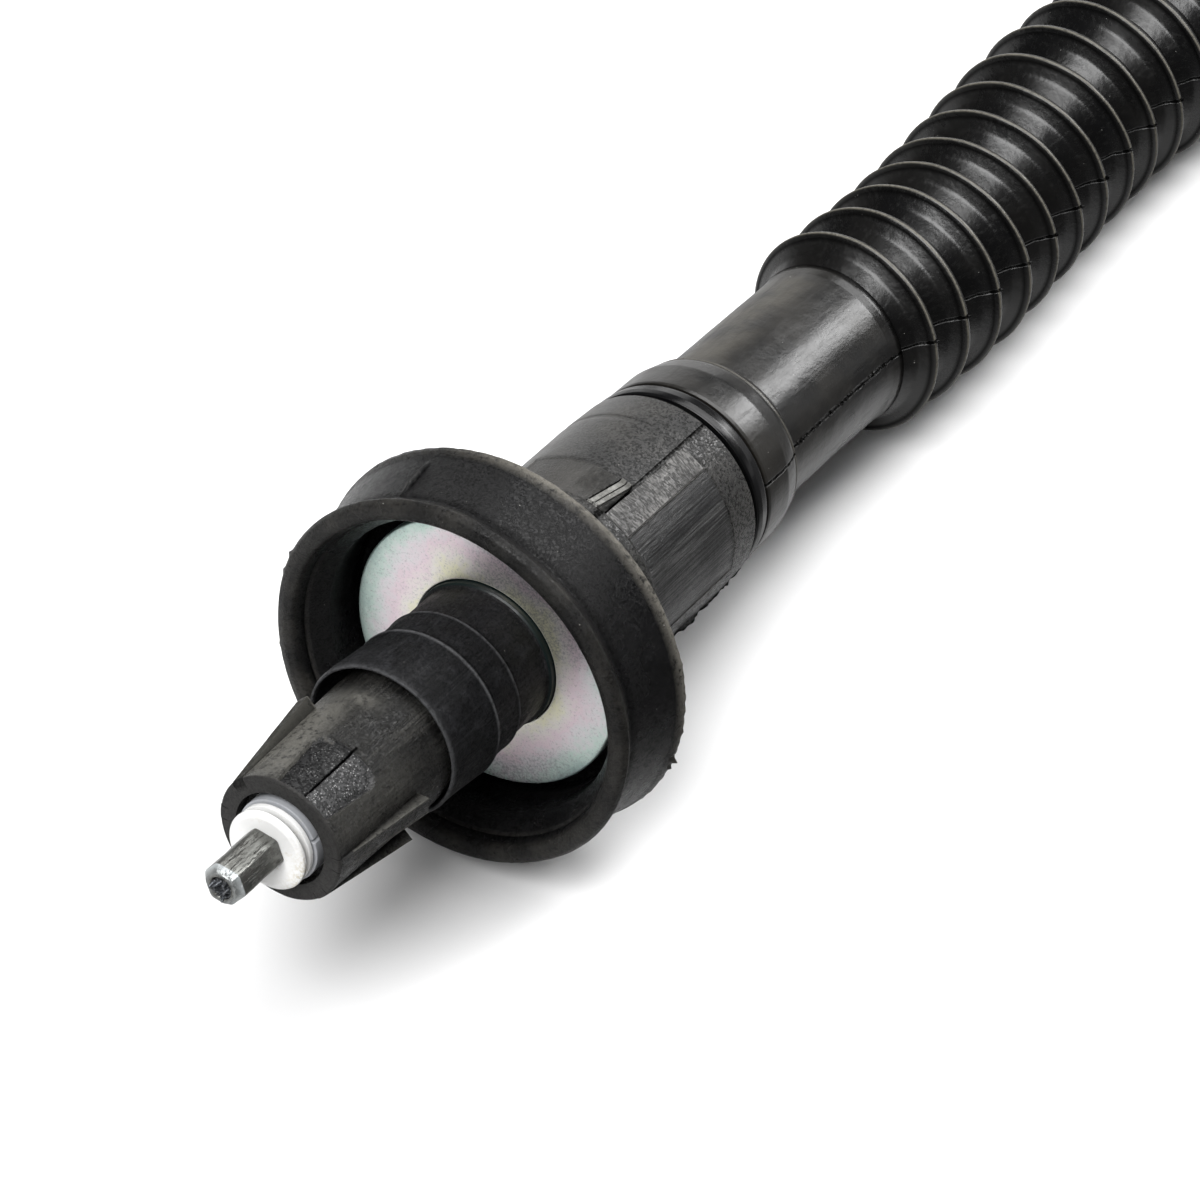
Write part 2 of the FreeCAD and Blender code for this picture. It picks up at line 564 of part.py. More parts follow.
def make_bush():
    front = "0 - bush_reach"
    disc_back = "bush_disc_thick - bush_reach"
    ring_from = disc_back + " + bush_groove_wide"
    ring_to = ring_from + " + bush_ring_wide"
    return turned("guide_bush", [
        ("wire_hole_r", front), ("bush_disc_r - bush_round", front),
        ("bush_disc_r", front + " + bush_round"), ("bush_disc_r", disc_back),
        ("bush_groove_r", disc_back), ("bush_groove_r", ring_from), ("bush_ring_r", ring_from),
        ("bush_ring_r", ring_to), ("bush_neck_r", ring_to), ("bush_neck_r", "bush_body_from"),
        ("bush_seat_r - seat_fit", "bush_body_from"),
        ("bush_seat_r - seat_fit", "bush_body_from + bush_body_length"),
        ("liner_r + seat_fit", "bush_body_from + bush_body_length"),
        ("liner_r + seat_fit", "liner_from"), ("wire_hole_r", "liner_from")])


def make_collar():
    back = "bush_body_from"
    return turned("bush_collar", [
        ("bush_neck_r + seat_fit", back + " - collar_length"), ("collar_r", back + " - collar_length"),
        ("collar_r", back), ("bush_neck_r + seat_fit", back)])


def make_liner():
    return turned("liner_tube", [
        ("wire_hole_r", "liner_from"), ("liner_r", "liner_from"), ("liner_r", "liner_from + liner_length"),
        ("wire_hole_r", "liner_from + liner_length")])


def make_cam_ring():
    ring = turned("cam_ring_blank", [
        ("cam_bore_r", "nose_back"), ("moving_r", "nose_back"), ("moving_r", "cam_to"),
        ("cam_bore_r", "cam_to")])
    length = "cam_to + 1 - cam_slot_from"
    low = "jaw_back_r + jaw_lift + cam_fit + ramp * (cam_slot_from - jaw_middle)"
    high = low + " + ramp * (%s)" % length
    slots = [wedge("cam_slot_%d" % (i + 1), ("1", low), ("1", high), "jaw_wide + 4 * cam_fit",
                   "cam_slot_from", length, turn) for i, turn in enumerate(jaw_turns())]
    return cut("cam_ring", ring, *slots)


# Locking jaws and the cage that guides them

def jaw_turns():
    """Where the jaws sit round the axis, in degrees."""
    count = int(size("jaw_count"))
    return [360.0 * i / count for i in range(count)]


def make_jaw(index, turn):
    """A jaw with the rod's teeth cut in its face, drawn back from the rod by its lift."""
    name = "lock_jaw_%d" % (index + 1)
    low = "jaw_back_r - ramp * jaw_length / 2"
    block = wedge(name + "_block", ("tooth_root_r - 0.5", low), ("tooth_root_r - 0.5",
                  "jaw_back_r + ramp * jaw_length / 2"), "jaw_wide", "jaw_from", "jaw_length", 0.0)
    tip, root = "rod_r + tooth_fit", "tooth_root_r + tooth_fit"
    cutter = grooved(name + "_teeth_cutter", [
        ("rod_bore_r", "rod_from"), (tip, "rod_from"), (tip, "rod_from + rod_length / 2"),
        ("rod_bore_r", "rod_from + rod_length / 2")], tooth_groove(tip, root))
    jaw = cut(name, block, cutter)
    return jaw, about_axis(turn, 0.0, size("jaw_lift"))


def tooth_groove(tip, root):
    """Half section of one V groove that cuts from the tip radius down to the root radius."""
    start = "tooth_from"
    return [(tip + " + 0.5", start + " - tooth_pitch * 0.4"), (tip, start + " + tooth_pitch * 0.05"),
            (root, start + " + tooth_pitch * 0.5"), (tip, start + " + tooth_pitch * 0.95"),
            (tip + " + 0.5", start + " + tooth_pitch * 1.4")]


def make_cage():
    cage = turned("jaw_cage_blank", [
        ("cage_bore_r", "cage_from"), ("cage_r", "cage_from"), ("cage_r", "cavity_to - cage_flange_thick"),
        ("cavity_r - seat_fit", "cavity_to - cage_flange_thick"),
        ("cavity_r - seat_fit", "cavity_to"), ("cage_bore_r", "cavity_to")])
    slots = [wedge("cage_slot_%d" % (i + 1), ("1", "cage_r + 1"), ("1", "cage_r + 1"),
                   "jaw_wide + 2 * jaw_fit", "jaw_from - jaw_fit", "jaw_length + 2 * jaw_fit", turn)
             for i, turn in enumerate(jaw_turns())]
    return cut("jaw_cage", cage, *slots)


# Rod, its guide, spring seat and springs

def make_rod():
    return grooved("toothed_rod", [
        ("rod_bore_r", "rod_from"), ("rod_r - rod_edge", "rod_from"), ("rod_r", "rod_from + rod_edge"),
        ("rod_r", "seat_back"), ("rod_head_r", "seat_back"), ("rod_head_r", "rod_to"),
        ("conduit_r + seat_fit", "rod_to"), ("conduit_r + seat_fit", "conduit_from"),
        ("conduit_bore_r", "conduit_from"), ("conduit_bore_r", "rod_from + rod_bore_length"),
        ("rod_bore_r", "rod_from + rod_bore_length")], tooth_groove("rod_r", "tooth_root_r"))


def make_guide():
    return turned("rod_guide", [
        ("rod_r + guide_fit", "guide_from"), ("tail_bore_r - seat_fit", "guide_from"),
        ("tail_bore_r - seat_fit", "guide_to"), ("rod_r + guide_fit", "guide_to")])


def make_seat():
    return turned("spring_seat", [
        ("rod_r + seat_fit", "seat_from"), ("spring_coil_r - spring_wire_r - 0.1", "seat_from - 1"),
        ("spring_coil_r - spring_wire_r - 0.1", "seat_from"), ("seat_r", "seat_from"),
        ("seat_r", "seat_back"), ("rod_r + seat_fit", "seat_back")])


# Crimped sleeve and core wire

def make_crimp():
    back = "0 - bush_reach - crimp_gap"
    start = back + " - crimp_length"
    bar = doc.addObject("Part::Prism", "crimp_bar")
    bar.Polygon = 6
    bind(bar, Circumradius="crimp_r", Height="crimp_length")
    bar.Placement = about_axis(15.0, size(start))
    cone = doc.addObject("Part::Cone", "crimp_bevel_cone")
    bind(cone, Radius1="crimp_r - crimp_bevel", Radius2="crimp_r - crimp_bevel + crimp_length * 1.5",
         Height="crimp_length")
    cone.Placement = about_axis(0.0, size(start))
    bevelled = doc.addObject("Part::Common", "crimp_bevelled")
    bevelled.Base = bar
    bevelled.Tool = cone
    bore = cylinder("crimp_bore", "wire_r + 0.02", start + " - 1", "crimp_length + 2")
    return cut("crimp_sleeve", bevelled, bore)


# Bellows on its curved centre line, conduit and end cap

def boot_stations():
    """Stations and radii of the bellows' circles, from its collar to its end."""
    front, neck = size("boot_from"), size("boot_neck_from")
    rings = [
        (front, size("boot_collar_r - 0.4")), (front + 0.5, size("boot_collar_r")),
        (neck - 0.6, size("boot_collar_rear_r")), (neck, size("boot_collar_rear_r - 0.3")),
        (neck + 0.1, size("boot_neck_r + 0.1")), (neck + 2.0, size("boot_neck_r")),
        (size("first_rib - rib_foot_lead - 3"), size("boot_neck_r"))]
    for rib in range(int(size("rib_count"))):
        crest = size("first_rib") + rib * size("rib_pitch")
        foot = size("boot_neck_r + 0.3") if rib == 0 else size("rib_foot_r")
        rings += [(crest - size("rib_foot_lead"), foot),
                  (crest - size("rib_shoulder_lead"), size("rib_shoulder_r")),
                  (crest - size("rib_crest_wide") / 2, size("rib_r")),
                  (crest + size("rib_crest_wide") / 2, size("rib_r"))]
    last = size("first_rib + rib_count * rib_pitch - rib_foot_lead")
    rings += [(last, size("rib_foot_r")), (last + 0.6, size("boot_end_r")),
              (last + size("boot_end_length"), size("boot_end_r"))]
    return rings


def bore_stations(end):
    """Stations and radii of the bellows' bore: one circle where it grips and one at each rib."""
    tail = size("tail_to + soft_fit")
    neck_r = size("boot_neck_r - boot_wall")
    rings = [(size("boot_from"), size("tail_r + soft_fit")), (tail, size("tail_r + soft_fit")),
             (tail + 0.5, neck_r), (size("first_rib - rib_foot_lead - 3"), neck_r)]
    bore = size("rib_foot_r - boot_wall")
    for rib in range(int(size("rib_count")) + 1):
        at = size("first_rib") + rib * size("rib_pitch") - size("rib_foot_lead")
        rings.append((at, bore if 0 < rib else neck_r))
    grip = end - size("cap_depth") - size("soft_fit")
    rings = [r for r in rings if r[0] < grip - 0.6]
    return rings + [(grip - 0.5, bore), (grip, size("cap_r + soft_fit")), (end, size("cap_r + soft_fit"))]


def make_bellows():
    """The ribbed boot as one solid with its bore, and the placement of its end."""
    outer = boot_stations()
    end = outer[-1][0]
    inner = bore_stations(end)
    skin = loft([r for _, r in outer], trace([s for s, _ in outer]))
    places = trace([s for s, _ in inner])
    first, last = places[0].copy(), places[-1].copy()
    first.move(first.Rotation.multVec(FreeCAD.Vector(0, 0, -1)))
    last.move(last.Rotation.multVec(FreeCAD.Vector(0, 0, 1)))
    radii = [r for _, r in inner]
    core = loft([radii[0]] + radii + [radii[-1]], [first] + places + [last])
    return feature("bellows", skin.cut(core)), trace([end])[0]


def conduit_route(end):
    """Edges of the conduit's centre line from the rod's socket to the end cap."""
    rod_end = FreeCAD.Vector(0, 0, size("rod_to + conduit_lead"))
    along = end.Rotation.multVec(FreeCAD.Vector(0, 0, 1))
    stop = end.Base + along * size("cap_flange_thick")
    inside = stop - along * size("conduit_tail")
    start = FreeCAD.Vector(0, 0, size("conduit_from"))
    route = [Part.LineSegment(start, rod_end).toShape()]
    route += arc_pair(rod_end, FreeCAD.Vector(0, 0, 1), inside, along)
    return route + [Part.LineSegment(inside, stop).toShape()]


def make_conduit(route):
    sheath = pipe(size("conduit_r"), route)
    bore = pipe(size("conduit_bore_r"), route)
    return feature("conduit", sheath.cut(bore))


def make_rear_wire(route):
    """The wire from where the straight stretch ends, on through the conduit."""
    start = FreeCAD.Vector(0, 0, size("wire_to + seat_fit"))
    lead = Part.LineSegment(start, route[0].valueAt(route[0].LastParameter)).toShape()
    return feature("core_wire_rear", pipe(size("wire_r"), [lead] + route[1:]))


def make_cap():
    """End cap in its own frame: zero is the bellows' end, and +Z leaves the socket's mouth."""
    boss = "cap_flange_thick + cap_shoulder"
    end = "cap_flange_thick + cap_boss_length"
    return turned("rear_cap", [
        ("conduit_r + seat_fit", "0 - cap_depth"), ("cap_r - 0.5", "0 - cap_depth"),
        ("cap_r", "0.5 - cap_depth"), ("cap_r", "0"), ("cap_flange_r", "0"),
        ("cap_flange_r", "cap_flange_thick"), ("cap_boss_r", boss), ("cap_boss_end_r", end),
        ("socket_r", end), ("socket_r", "cap_flange_thick"), ("conduit_r + seat_fit", "cap_flange_thick")])


# Build every piece with the placement that it has on the axis

upright = FreeCAD.Placement()
rolled = about_axis(size("roll_deg"))
pieces = []


def keep(thing, label, place):
    """List a finished sub-part under its name, with its place on the axis."""
    thing.Label = label
    pieces.append((thing, place))


keep(make_washer(), "thrust_washer", upright)
keep(make_cup(), "rubber_cup", upright)
keep(make_sleeve(), "stepped_sleeve", upright)
keep(make_shell("housing_shell_right"), "housing_shell_right", rolled)
keep(make_shell("housing_shell_left"), "housing_shell_left", rolled.multiply(about_axis(180.0)))
keep(make_ring(), "retaining_ring", upright)
keep(make_nose(), "nose_tube", rolled)
keep(make_bush(), "guide_bush", upright)
keep(make_collar(), "bush_collar", upright)
keep(make_liner(), "liner_tube", upright)
keep(make_cam_ring(), "cam_ring", upright)
keep(make_cage(), "jaw_cage", upright)
for number, jaw_turn in enumerate(jaw_turns()):
    jaw_piece, jaw_place = make_jaw(number, jaw_turn)
    keep(jaw_piece, "lock_jaw_%d" % (number + 1), jaw_place)
keep(make_rod(), "toothed_rod", upright)
keep(make_guide(), "rod_guide", upright)
keep(make_seat(), "spring_seat", upright)
keep(coil("adjuster_spring", size("spring_coil_r"), size("spring_wire_r"), size("guide_to + seat_fit"),
          size("seat_from - seat_fit"), int(size("spring_turns"))), "adjuster_spring", upright)
keep(coil("release_spring", size("release_coil_r"), size("release_wire_r"), size("nose_back + seat_fit"),
          size("cage_from - seat_fit"), int(size("release_turns"))), "release_spring", upright)
keep(make_crimp(), "crimp_sleeve", upright)
keep(cylinder("core_wire", "wire_r", "wire_from", "wire_to - wire_from"), "core_wire",
     about_axis(0.0, size("wire_from")))
bellows, bellows_end = make_bellows()
keep(bellows, "bellows", upright)
keep(make_cap(), "rear_cap", bellows_end)
path = conduit_route(bellows_end)
keep(make_conduit(path), "conduit", upright)
keep(make_rear_wire(path), "core_wire_rear", upright)
doc.recompute()

# Lay the part down: tilt the axis, then set the middle of the footprint over the origin

tilt = FreeCAD.Rotation(
    FreeCAD.Vector(math.sin(SLOPE), 0, math.cos(SLOPE)), FreeCAD.Vector(0, -1, 0),
    FreeCAD.Vector(math.cos(SLOPE), 0, -math.sin(SLOPE)), "ZXY")
lying = FreeCAD.Placement(FreeCAD.Vector(), tilt)
box = FreeCAD.BoundBox()
for thing, place in pieces:
    thing.Placement = lying.multiply(place)
doc.recompute()
for thing, place in pieces:
    box.add(thing.Shape.optimalBoundingBox(False))
drop = FreeCAD.Vector(-box.Center.x, -box.Center.y, -box.ZMin)
lying = FreeCAD.Placement(drop, tilt)
for thing, place in pieces:
    thing.Placement = lying.multiply(place)
doc.recompute()

# Check every object, then write one file per sub-part

for thing in doc.Objects:
    if {"Invalid", "Error"} & set(thing.State):
        raise RuntimeError("%s did not build: %s" % (thing.Name, thing.State))
os.makedirs("parts", exist_ok=True)
for thing, place in pieces:
    shape = thing.Shape
    if shape.isNull() or not shape.isValid() or len(shape.Solids) != 1:
        raise RuntimeError("%s has no single sound solid" % thing.Label)
    shape.exportStep("parts/%s.step" % thing.Label)

# Print what the record states

def tell(label, point, direction):
    spot, way = lying.multVec(point), tilt.multVec(direction)
    print("%s at %.4f, %.4f, %.4f mm, axis %.6f, %.6f, %.6f" % (label, *spot, *way))


ahead = FreeCAD.Vector(0, 0, 1)
tell("axis", FreeCAD.Vector(), ahead)
tell("washer face", FreeCAD.Vector(size("(washer_r + sleeve_root_r) / 2"), 0, 0), ahead * -1)
tell("sleeve band", ahead * -size("(sleeve_reach + sleeve_mid_reach) / 2"), ahead * -1)
tell("crimp", ahead * -size("bush_reach + crimp_gap + crimp_length"), ahead * -1)
cap_way = bellows_end.Rotation.multVec(ahead)
tell("socket", bellows_end.Base + cap_way * size("cap_flange_thick + cap_boss_length"), cap_way)
for number, jaw_turn in enumerate(jaw_turns()):
    tell("jaw %d" % (number + 1), FreeCAD.Vector(), about_axis(jaw_turn).multVec(FreeCAD.Vector(-1, 0, 0)))
print("slope %.4f degrees, %d sub-parts" % (math.degrees(SLOPE), len(pieces)))
print("travels in mm: nose %.1f, jaws %.1f, rod %.1f, core %.1f" % (
    size("nose_travel"), size("jaw_lift"), size("adjust_teeth * tooth_pitch"), size("core_travel")))
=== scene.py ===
"""Dressed model of the lever end of a self-adjusting control cable, lying on a pale floor.

Sizes in the classes are in millimetres on the cable's own straight axis: a station runs from the
crimped wire tip towards the bellows, with zero at the face of the big washer, and an angle runs
round the axis in degrees, from its upper side towards the bright side panel of the housing.
CableLine carries both into the scene, which is in metres.
"""

import json
import logging
import math
from dataclasses import dataclass, field
from enum import Enum
from functools import reduce
from typing import Callable, Optional, Sequence, Union

import bmesh
import bpy
import numpy as np
from mathutils import Matrix, Vector, noise


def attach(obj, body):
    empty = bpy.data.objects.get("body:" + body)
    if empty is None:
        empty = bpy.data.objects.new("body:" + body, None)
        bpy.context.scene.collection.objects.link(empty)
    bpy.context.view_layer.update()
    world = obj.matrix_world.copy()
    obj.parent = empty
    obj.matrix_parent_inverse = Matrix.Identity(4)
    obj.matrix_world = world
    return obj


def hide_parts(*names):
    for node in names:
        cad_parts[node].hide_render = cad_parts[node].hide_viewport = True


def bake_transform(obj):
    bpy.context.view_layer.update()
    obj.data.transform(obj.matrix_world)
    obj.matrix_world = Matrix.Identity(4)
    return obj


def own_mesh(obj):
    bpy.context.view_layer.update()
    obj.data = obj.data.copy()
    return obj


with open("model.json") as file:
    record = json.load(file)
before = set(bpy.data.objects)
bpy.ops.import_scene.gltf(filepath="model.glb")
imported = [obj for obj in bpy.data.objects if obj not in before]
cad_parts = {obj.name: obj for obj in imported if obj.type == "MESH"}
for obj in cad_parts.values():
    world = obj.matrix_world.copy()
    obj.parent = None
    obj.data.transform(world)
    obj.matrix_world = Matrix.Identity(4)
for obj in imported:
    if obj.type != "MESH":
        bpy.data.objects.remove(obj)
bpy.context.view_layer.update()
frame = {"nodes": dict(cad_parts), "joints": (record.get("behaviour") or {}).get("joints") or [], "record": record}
log = logging.getLogger("cable")

Triple = tuple[float, float, float]
Pair = tuple[float, float]
Number = Union[float, "Wire"]
Change = Callable[[np.ndarray, np.ndarray, np.ndarray], tuple[np.ndarray, np.ndarray]]
MM = 0.001
EVEN = (1.0, 1.0, 1.0)
ROUND_SHARE = 0.45
CLOSEST = 1e-7


# ---------------------------------------------------------------- the axis and its lie

def named(rows: Sequence[dict], name: str) -> dict:
    """The row of a list of the frame that carries a name."""
    return next(row for row in rows if row["name"] == name)


@dataclass(frozen=True)
class CableLine:
    """The straight axis of the cable, which every stiff piece is built on."""

    origin: Vector
    ahead: Vector
    up: Vector
    side: Vector

    @classmethod
    def of_frame(cls, above: float = 15.4) -> "CableLine":
        """Read the axis from the nose's joint and the washer's mount.

        Args:
            above: How far the mount's point lies above the axis.

        Returns:
            The axis in scene coordinates.
        """
        ahead = Vector(named(frame["joints"], "nose_slide")["axis"]).normalized()
        side = Vector((0.0, -1.0, 0.0))
        up = side.cross(ahead)
        face = Vector(named(frame["record"]["mounts"], "bracket_face")["pos_m"])
        return cls(face - up * above * MM, ahead, up, side)

    def basis(self) -> np.ndarray:
        """Rows of the three directions: ahead, up and side."""
        return np.array([self.ahead, self.up, self.side])

    def place(self, spots: np.ndarray) -> np.ndarray:
        """Carry points, as (station, up, side) in millimetres, into the scene."""
        return np.array(self.origin) + (spots * MM) @ self.basis()

    def local(self, spots: np.ndarray) -> np.ndarray:
        """Carry points of the scene back to (station, up, side) in millimetres."""
        return (spots - np.array(self.origin)) @ self.basis().T / MM


LINE = CableLine.of_frame()


# ---------------------------------------------------------------- node trees as sums

def summing(kind: str, turned: bool = False) -> Callable[..., "Wire"]:
    """Make a method of Wire that adds a Math node.

    Args:
        kind: The Math node's operation.
        turned: Whether the other value comes first.

    Returns:
        The method, which takes the other value.
    """
    def method(self: "Wire", other: Number = 0.0) -> "Wire":
        """Add the Math node on this value and another."""
        pair = (other, self) if turned else (self, other)
        return self.tree.add("ShaderNodeMath", {"operation": kind}, dict(enumerate(pair)))

    return method


class Wire:
    """A node's output that takes part in Python sums, each of which adds its Math node."""

    __add__ = __radd__ = summing("ADD")
    __sub__, __rsub__ = summing("SUBTRACT"), summing("SUBTRACT", True)
    __mul__ = __rmul__ = summing("MULTIPLY")
    __truediv__ = summing("DIVIDE")
    least, most, over = summing("MINIMUM"), summing("MAXIMUM"), summing("GREATER_THAN")
    size, floor, root = summing("ABSOLUTE"), summing("FLOOR"), summing("SQRT")
    cos, sin, angle_from = summing("COSINE"), summing("SINE"), summing("ARCTAN2")

    def __init__(self, tree: "Tree", socket: bpy.types.NodeSocket) -> None:
        """Hold an output socket and the tree that it belongs to."""
        self.tree = tree
        self.socket = socket

    def between(self, low: float, high: float) -> "Wire":
        """Rise smoothly from zero at low to one at high."""
        return self.tree.add("ShaderNodeMapRange", {"interpolation_type": "SMOOTHSTEP"},
                             {"Value": self, "From Min": low, "From Max": high})

    def vector(self, kind: str, other: Union["Wire", tuple, None] = None, out: str = "Vector") -> "Wire":
        """Add a Vector Math node on this vector.

        Args:
            kind: The Vector Math operation.
            other: The second vector, or the factor of a scaling.
            out: Which output to give back.

        Returns:
            The result.
        """
        sockets: dict = {0: self}
        if other is not None:
            sockets["Scale" if kind == "SCALE" else 1] = other
        return self.tree.add("ShaderNodeVectorMath", {"operation": kind}, sockets, out)

    def beside(self, name: str) -> "Wire":
        """Another output of the same node."""
        return Wire(self.tree, self.socket.node.outputs[name])

    def parts(self) -> tuple["Wire", "Wire", "Wire"]:
        """The three parts of a vector."""
        split = self.tree.add("ShaderNodeSeparateXYZ", {}, {0: self}, "X")
        return tuple(split.beside(name) for name in "XYZ")


class Tree:
    """A node tree that nodes are added to by one method."""

    def __init__(self, tree: bpy.types.NodeTree) -> None:
        """Start from a node tree and empty it."""
        self.tree = tree
        tree.nodes.clear()

    def add(self, kind: str, settings: Optional[dict] = None, sockets: Optional[dict] = None,
            out: Union[str, int] = 0) -> Wire:
        """Add a node.

        Args:
            kind: The node's type.
            settings: Properties that are set first.
            sockets: Values or wires of its inputs, by identifier, name or number.
            out: The output to give back.

        Returns:
            The output as a wire.
        """
        node = self.tree.nodes.new(kind)
        for name, value in (settings or {}).items():
            setattr(node, name, value)
        for key, value in (sockets or {}).items():
            self.feed(self.find(node.inputs, key), value)
        return Wire(self, self.find(node.outputs, out))

    @staticmethod
    def find(sockets: bpy.types.NodeInputs, key: Union[str, int]) -> bpy.types.NodeSocket:
        """Find a socket by number, by identifier or else by name.

        Args:
            sockets: The node's inputs or outputs.
            key: The number, identifier or name.

        Returns:
            The socket.
        """
        exact = [s for s in sockets if s.identifier == key]
        return sockets[key] if isinstance(key, int) else (
            exact or [s for s in sockets if s.name == key and s.enabled])[0]

    def feed(self, socket: bpy.types.NodeSocket, value: object) -> None:
        """Link a wire to an input, or set its value, which may be a colour without its alpha.

        Args:
            socket: The input.
            value: A wire, or a value that the input can take.
        """
        if isinstance(value, Wire):
            self.tree.links.new(value.socket, socket)
        else:
            socket.default_value = (*value, 1.0) if socket.type == "RGBA" else value

    def close(self, kind: str, wire: Wire) -> None:
        """Link the last wire to an output node."""
        self.tree.links.new(wire.socket, self.tree.nodes.new(kind).inputs[0])

    def mixed(self, factor: Number, a: Union[Wire, Triple], b: Union[Wire, Triple]) -> Wire:
        """Mix a colour with some of a second one."""
        return self.add("ShaderNodeMix", {"data_type": "RGBA"},
                        {"Factor_Float": factor, "A_Color": a, "B_Color": b}, "Result_Color")


class Maker(Tree):
    """A Geometry Nodes tree with named inputs, which is run once to make a plain mesh."""

    KINDS = {int: "NodeSocketInt", float: "NodeSocketFloat", bpy.types.Object: "NodeSocketObject",
             bpy.types.Material: "NodeSocketMaterial"}

    def __init__(self, name: str, inputs: dict[str, object]) -> None:
        """Make the tree.

        Args:
            name: The name of the mesh that it makes.
            inputs: The value of each input. One is the material, as "Finish".
        """
        group = bpy.data.node_groups.new(name, "GeometryNodeTree")
        super().__init__(group)
        sockets = [group.interface.new_socket(name=label, in_out="INPUT", socket_type=self.KINDS[type(value)])
                   for label, value in inputs.items()]
        group.interface.new_socket(name="Mesh", in_out="OUTPUT", socket_type="NodeSocketGeometry")
        self.values = {socket.identifier: value for socket, value in zip(sockets, inputs.values())}
        given = group.nodes.new("NodeGroupInput")
        self.given = [Wire(self, given.outputs[i]) for i in range(len(inputs))]

    def index(self) -> Wire:
        """The number of the point."""
        return self.add("GeometryNodeInputIndex", {}, {}, "Index")

    def dots(self, count: Union[Wire, int]) -> Wire:
        """Some points."""
        return self.add("GeometryNodeMeshLine", {}, {"Count": count}, "Mesh")

    def here(self) -> Wire:
        """The place of the point."""
        return self.add("GeometryNodeInputPosition", {}, {}, "Position")

    def spot(self, x: Number, y: Number, z: Number) -> Wire:
        """A vector of three numbers."""
        return self.add("ShaderNodeCombineXYZ", {}, {0: x, 1: y, 2: z}, "Vector")

    def lots(self, low: Triple, high: Triple, seed: Wire, **more: Wire) -> Wire:
        """Three random numbers between two bounds."""
        return self.add("FunctionNodeRandomValue", {"data_type": "FLOAT_VECTOR"}, {
            "Min": low, "Max": high, "Seed": seed, **more}, "Value")

    def put(self, mesh: Wire, spot: Wire) -> Wire:
        """Move the points to a place."""
        return self.add("GeometryNodeSetPosition", {}, {"Geometry": mesh, "Position": spot}, "Geometry")

    def strewn(self, points: Wire, piece: Wire, turn: Wire, **more: Wire) -> Wire:
        """Set a piece on every point."""
        return self.add("GeometryNodeInstanceOnPoints", {}, {
            "Points": points, "Instance": piece, "Rotation": turn, **more}, "Instances")

    def run(self, shape: Wire) -> bpy.types.Mesh:
        """Close the tree with its material and keep its result as a plain mesh.

        Args:
            shape: The last geometry.

        Returns:
            The mesh.
        """
        solid = self.add("GeometryNodeRealizeInstances", {}, {"Geometry": shape}, "Geometry")
        self.close("NodeGroupOutput", self.add("GeometryNodeSetMaterial", {}, {
            "Geometry": solid, "Material": self.given[-1]}, "Geometry"))
        name = self.tree.name
        carrier = linked(name + "_maker", bpy.data.meshes.new(name + "_start"))
        maker = carrier.modifiers.new("maker", "NODES")
        maker.node_group = self.tree
        for identifier, value in self.values.items():
            maker[identifier] = value
        carrier.update_tag()
        bpy.context.view_layer.update()
        result = bpy.data.meshes.new_from_object(carrier.evaluated_get(bpy.context.evaluated_depsgraph_get()))
        carrier.modifiers.remove(maker)
        bpy.data.objects.remove(carrier)
        result.name = name
        return result


# ---------------------------------------------------------------- finishes

class Reading(Enum):
    """Where a finish reads its place on the axis."""

    ATTRIBUTE = "place"
    OBJECT = "object"


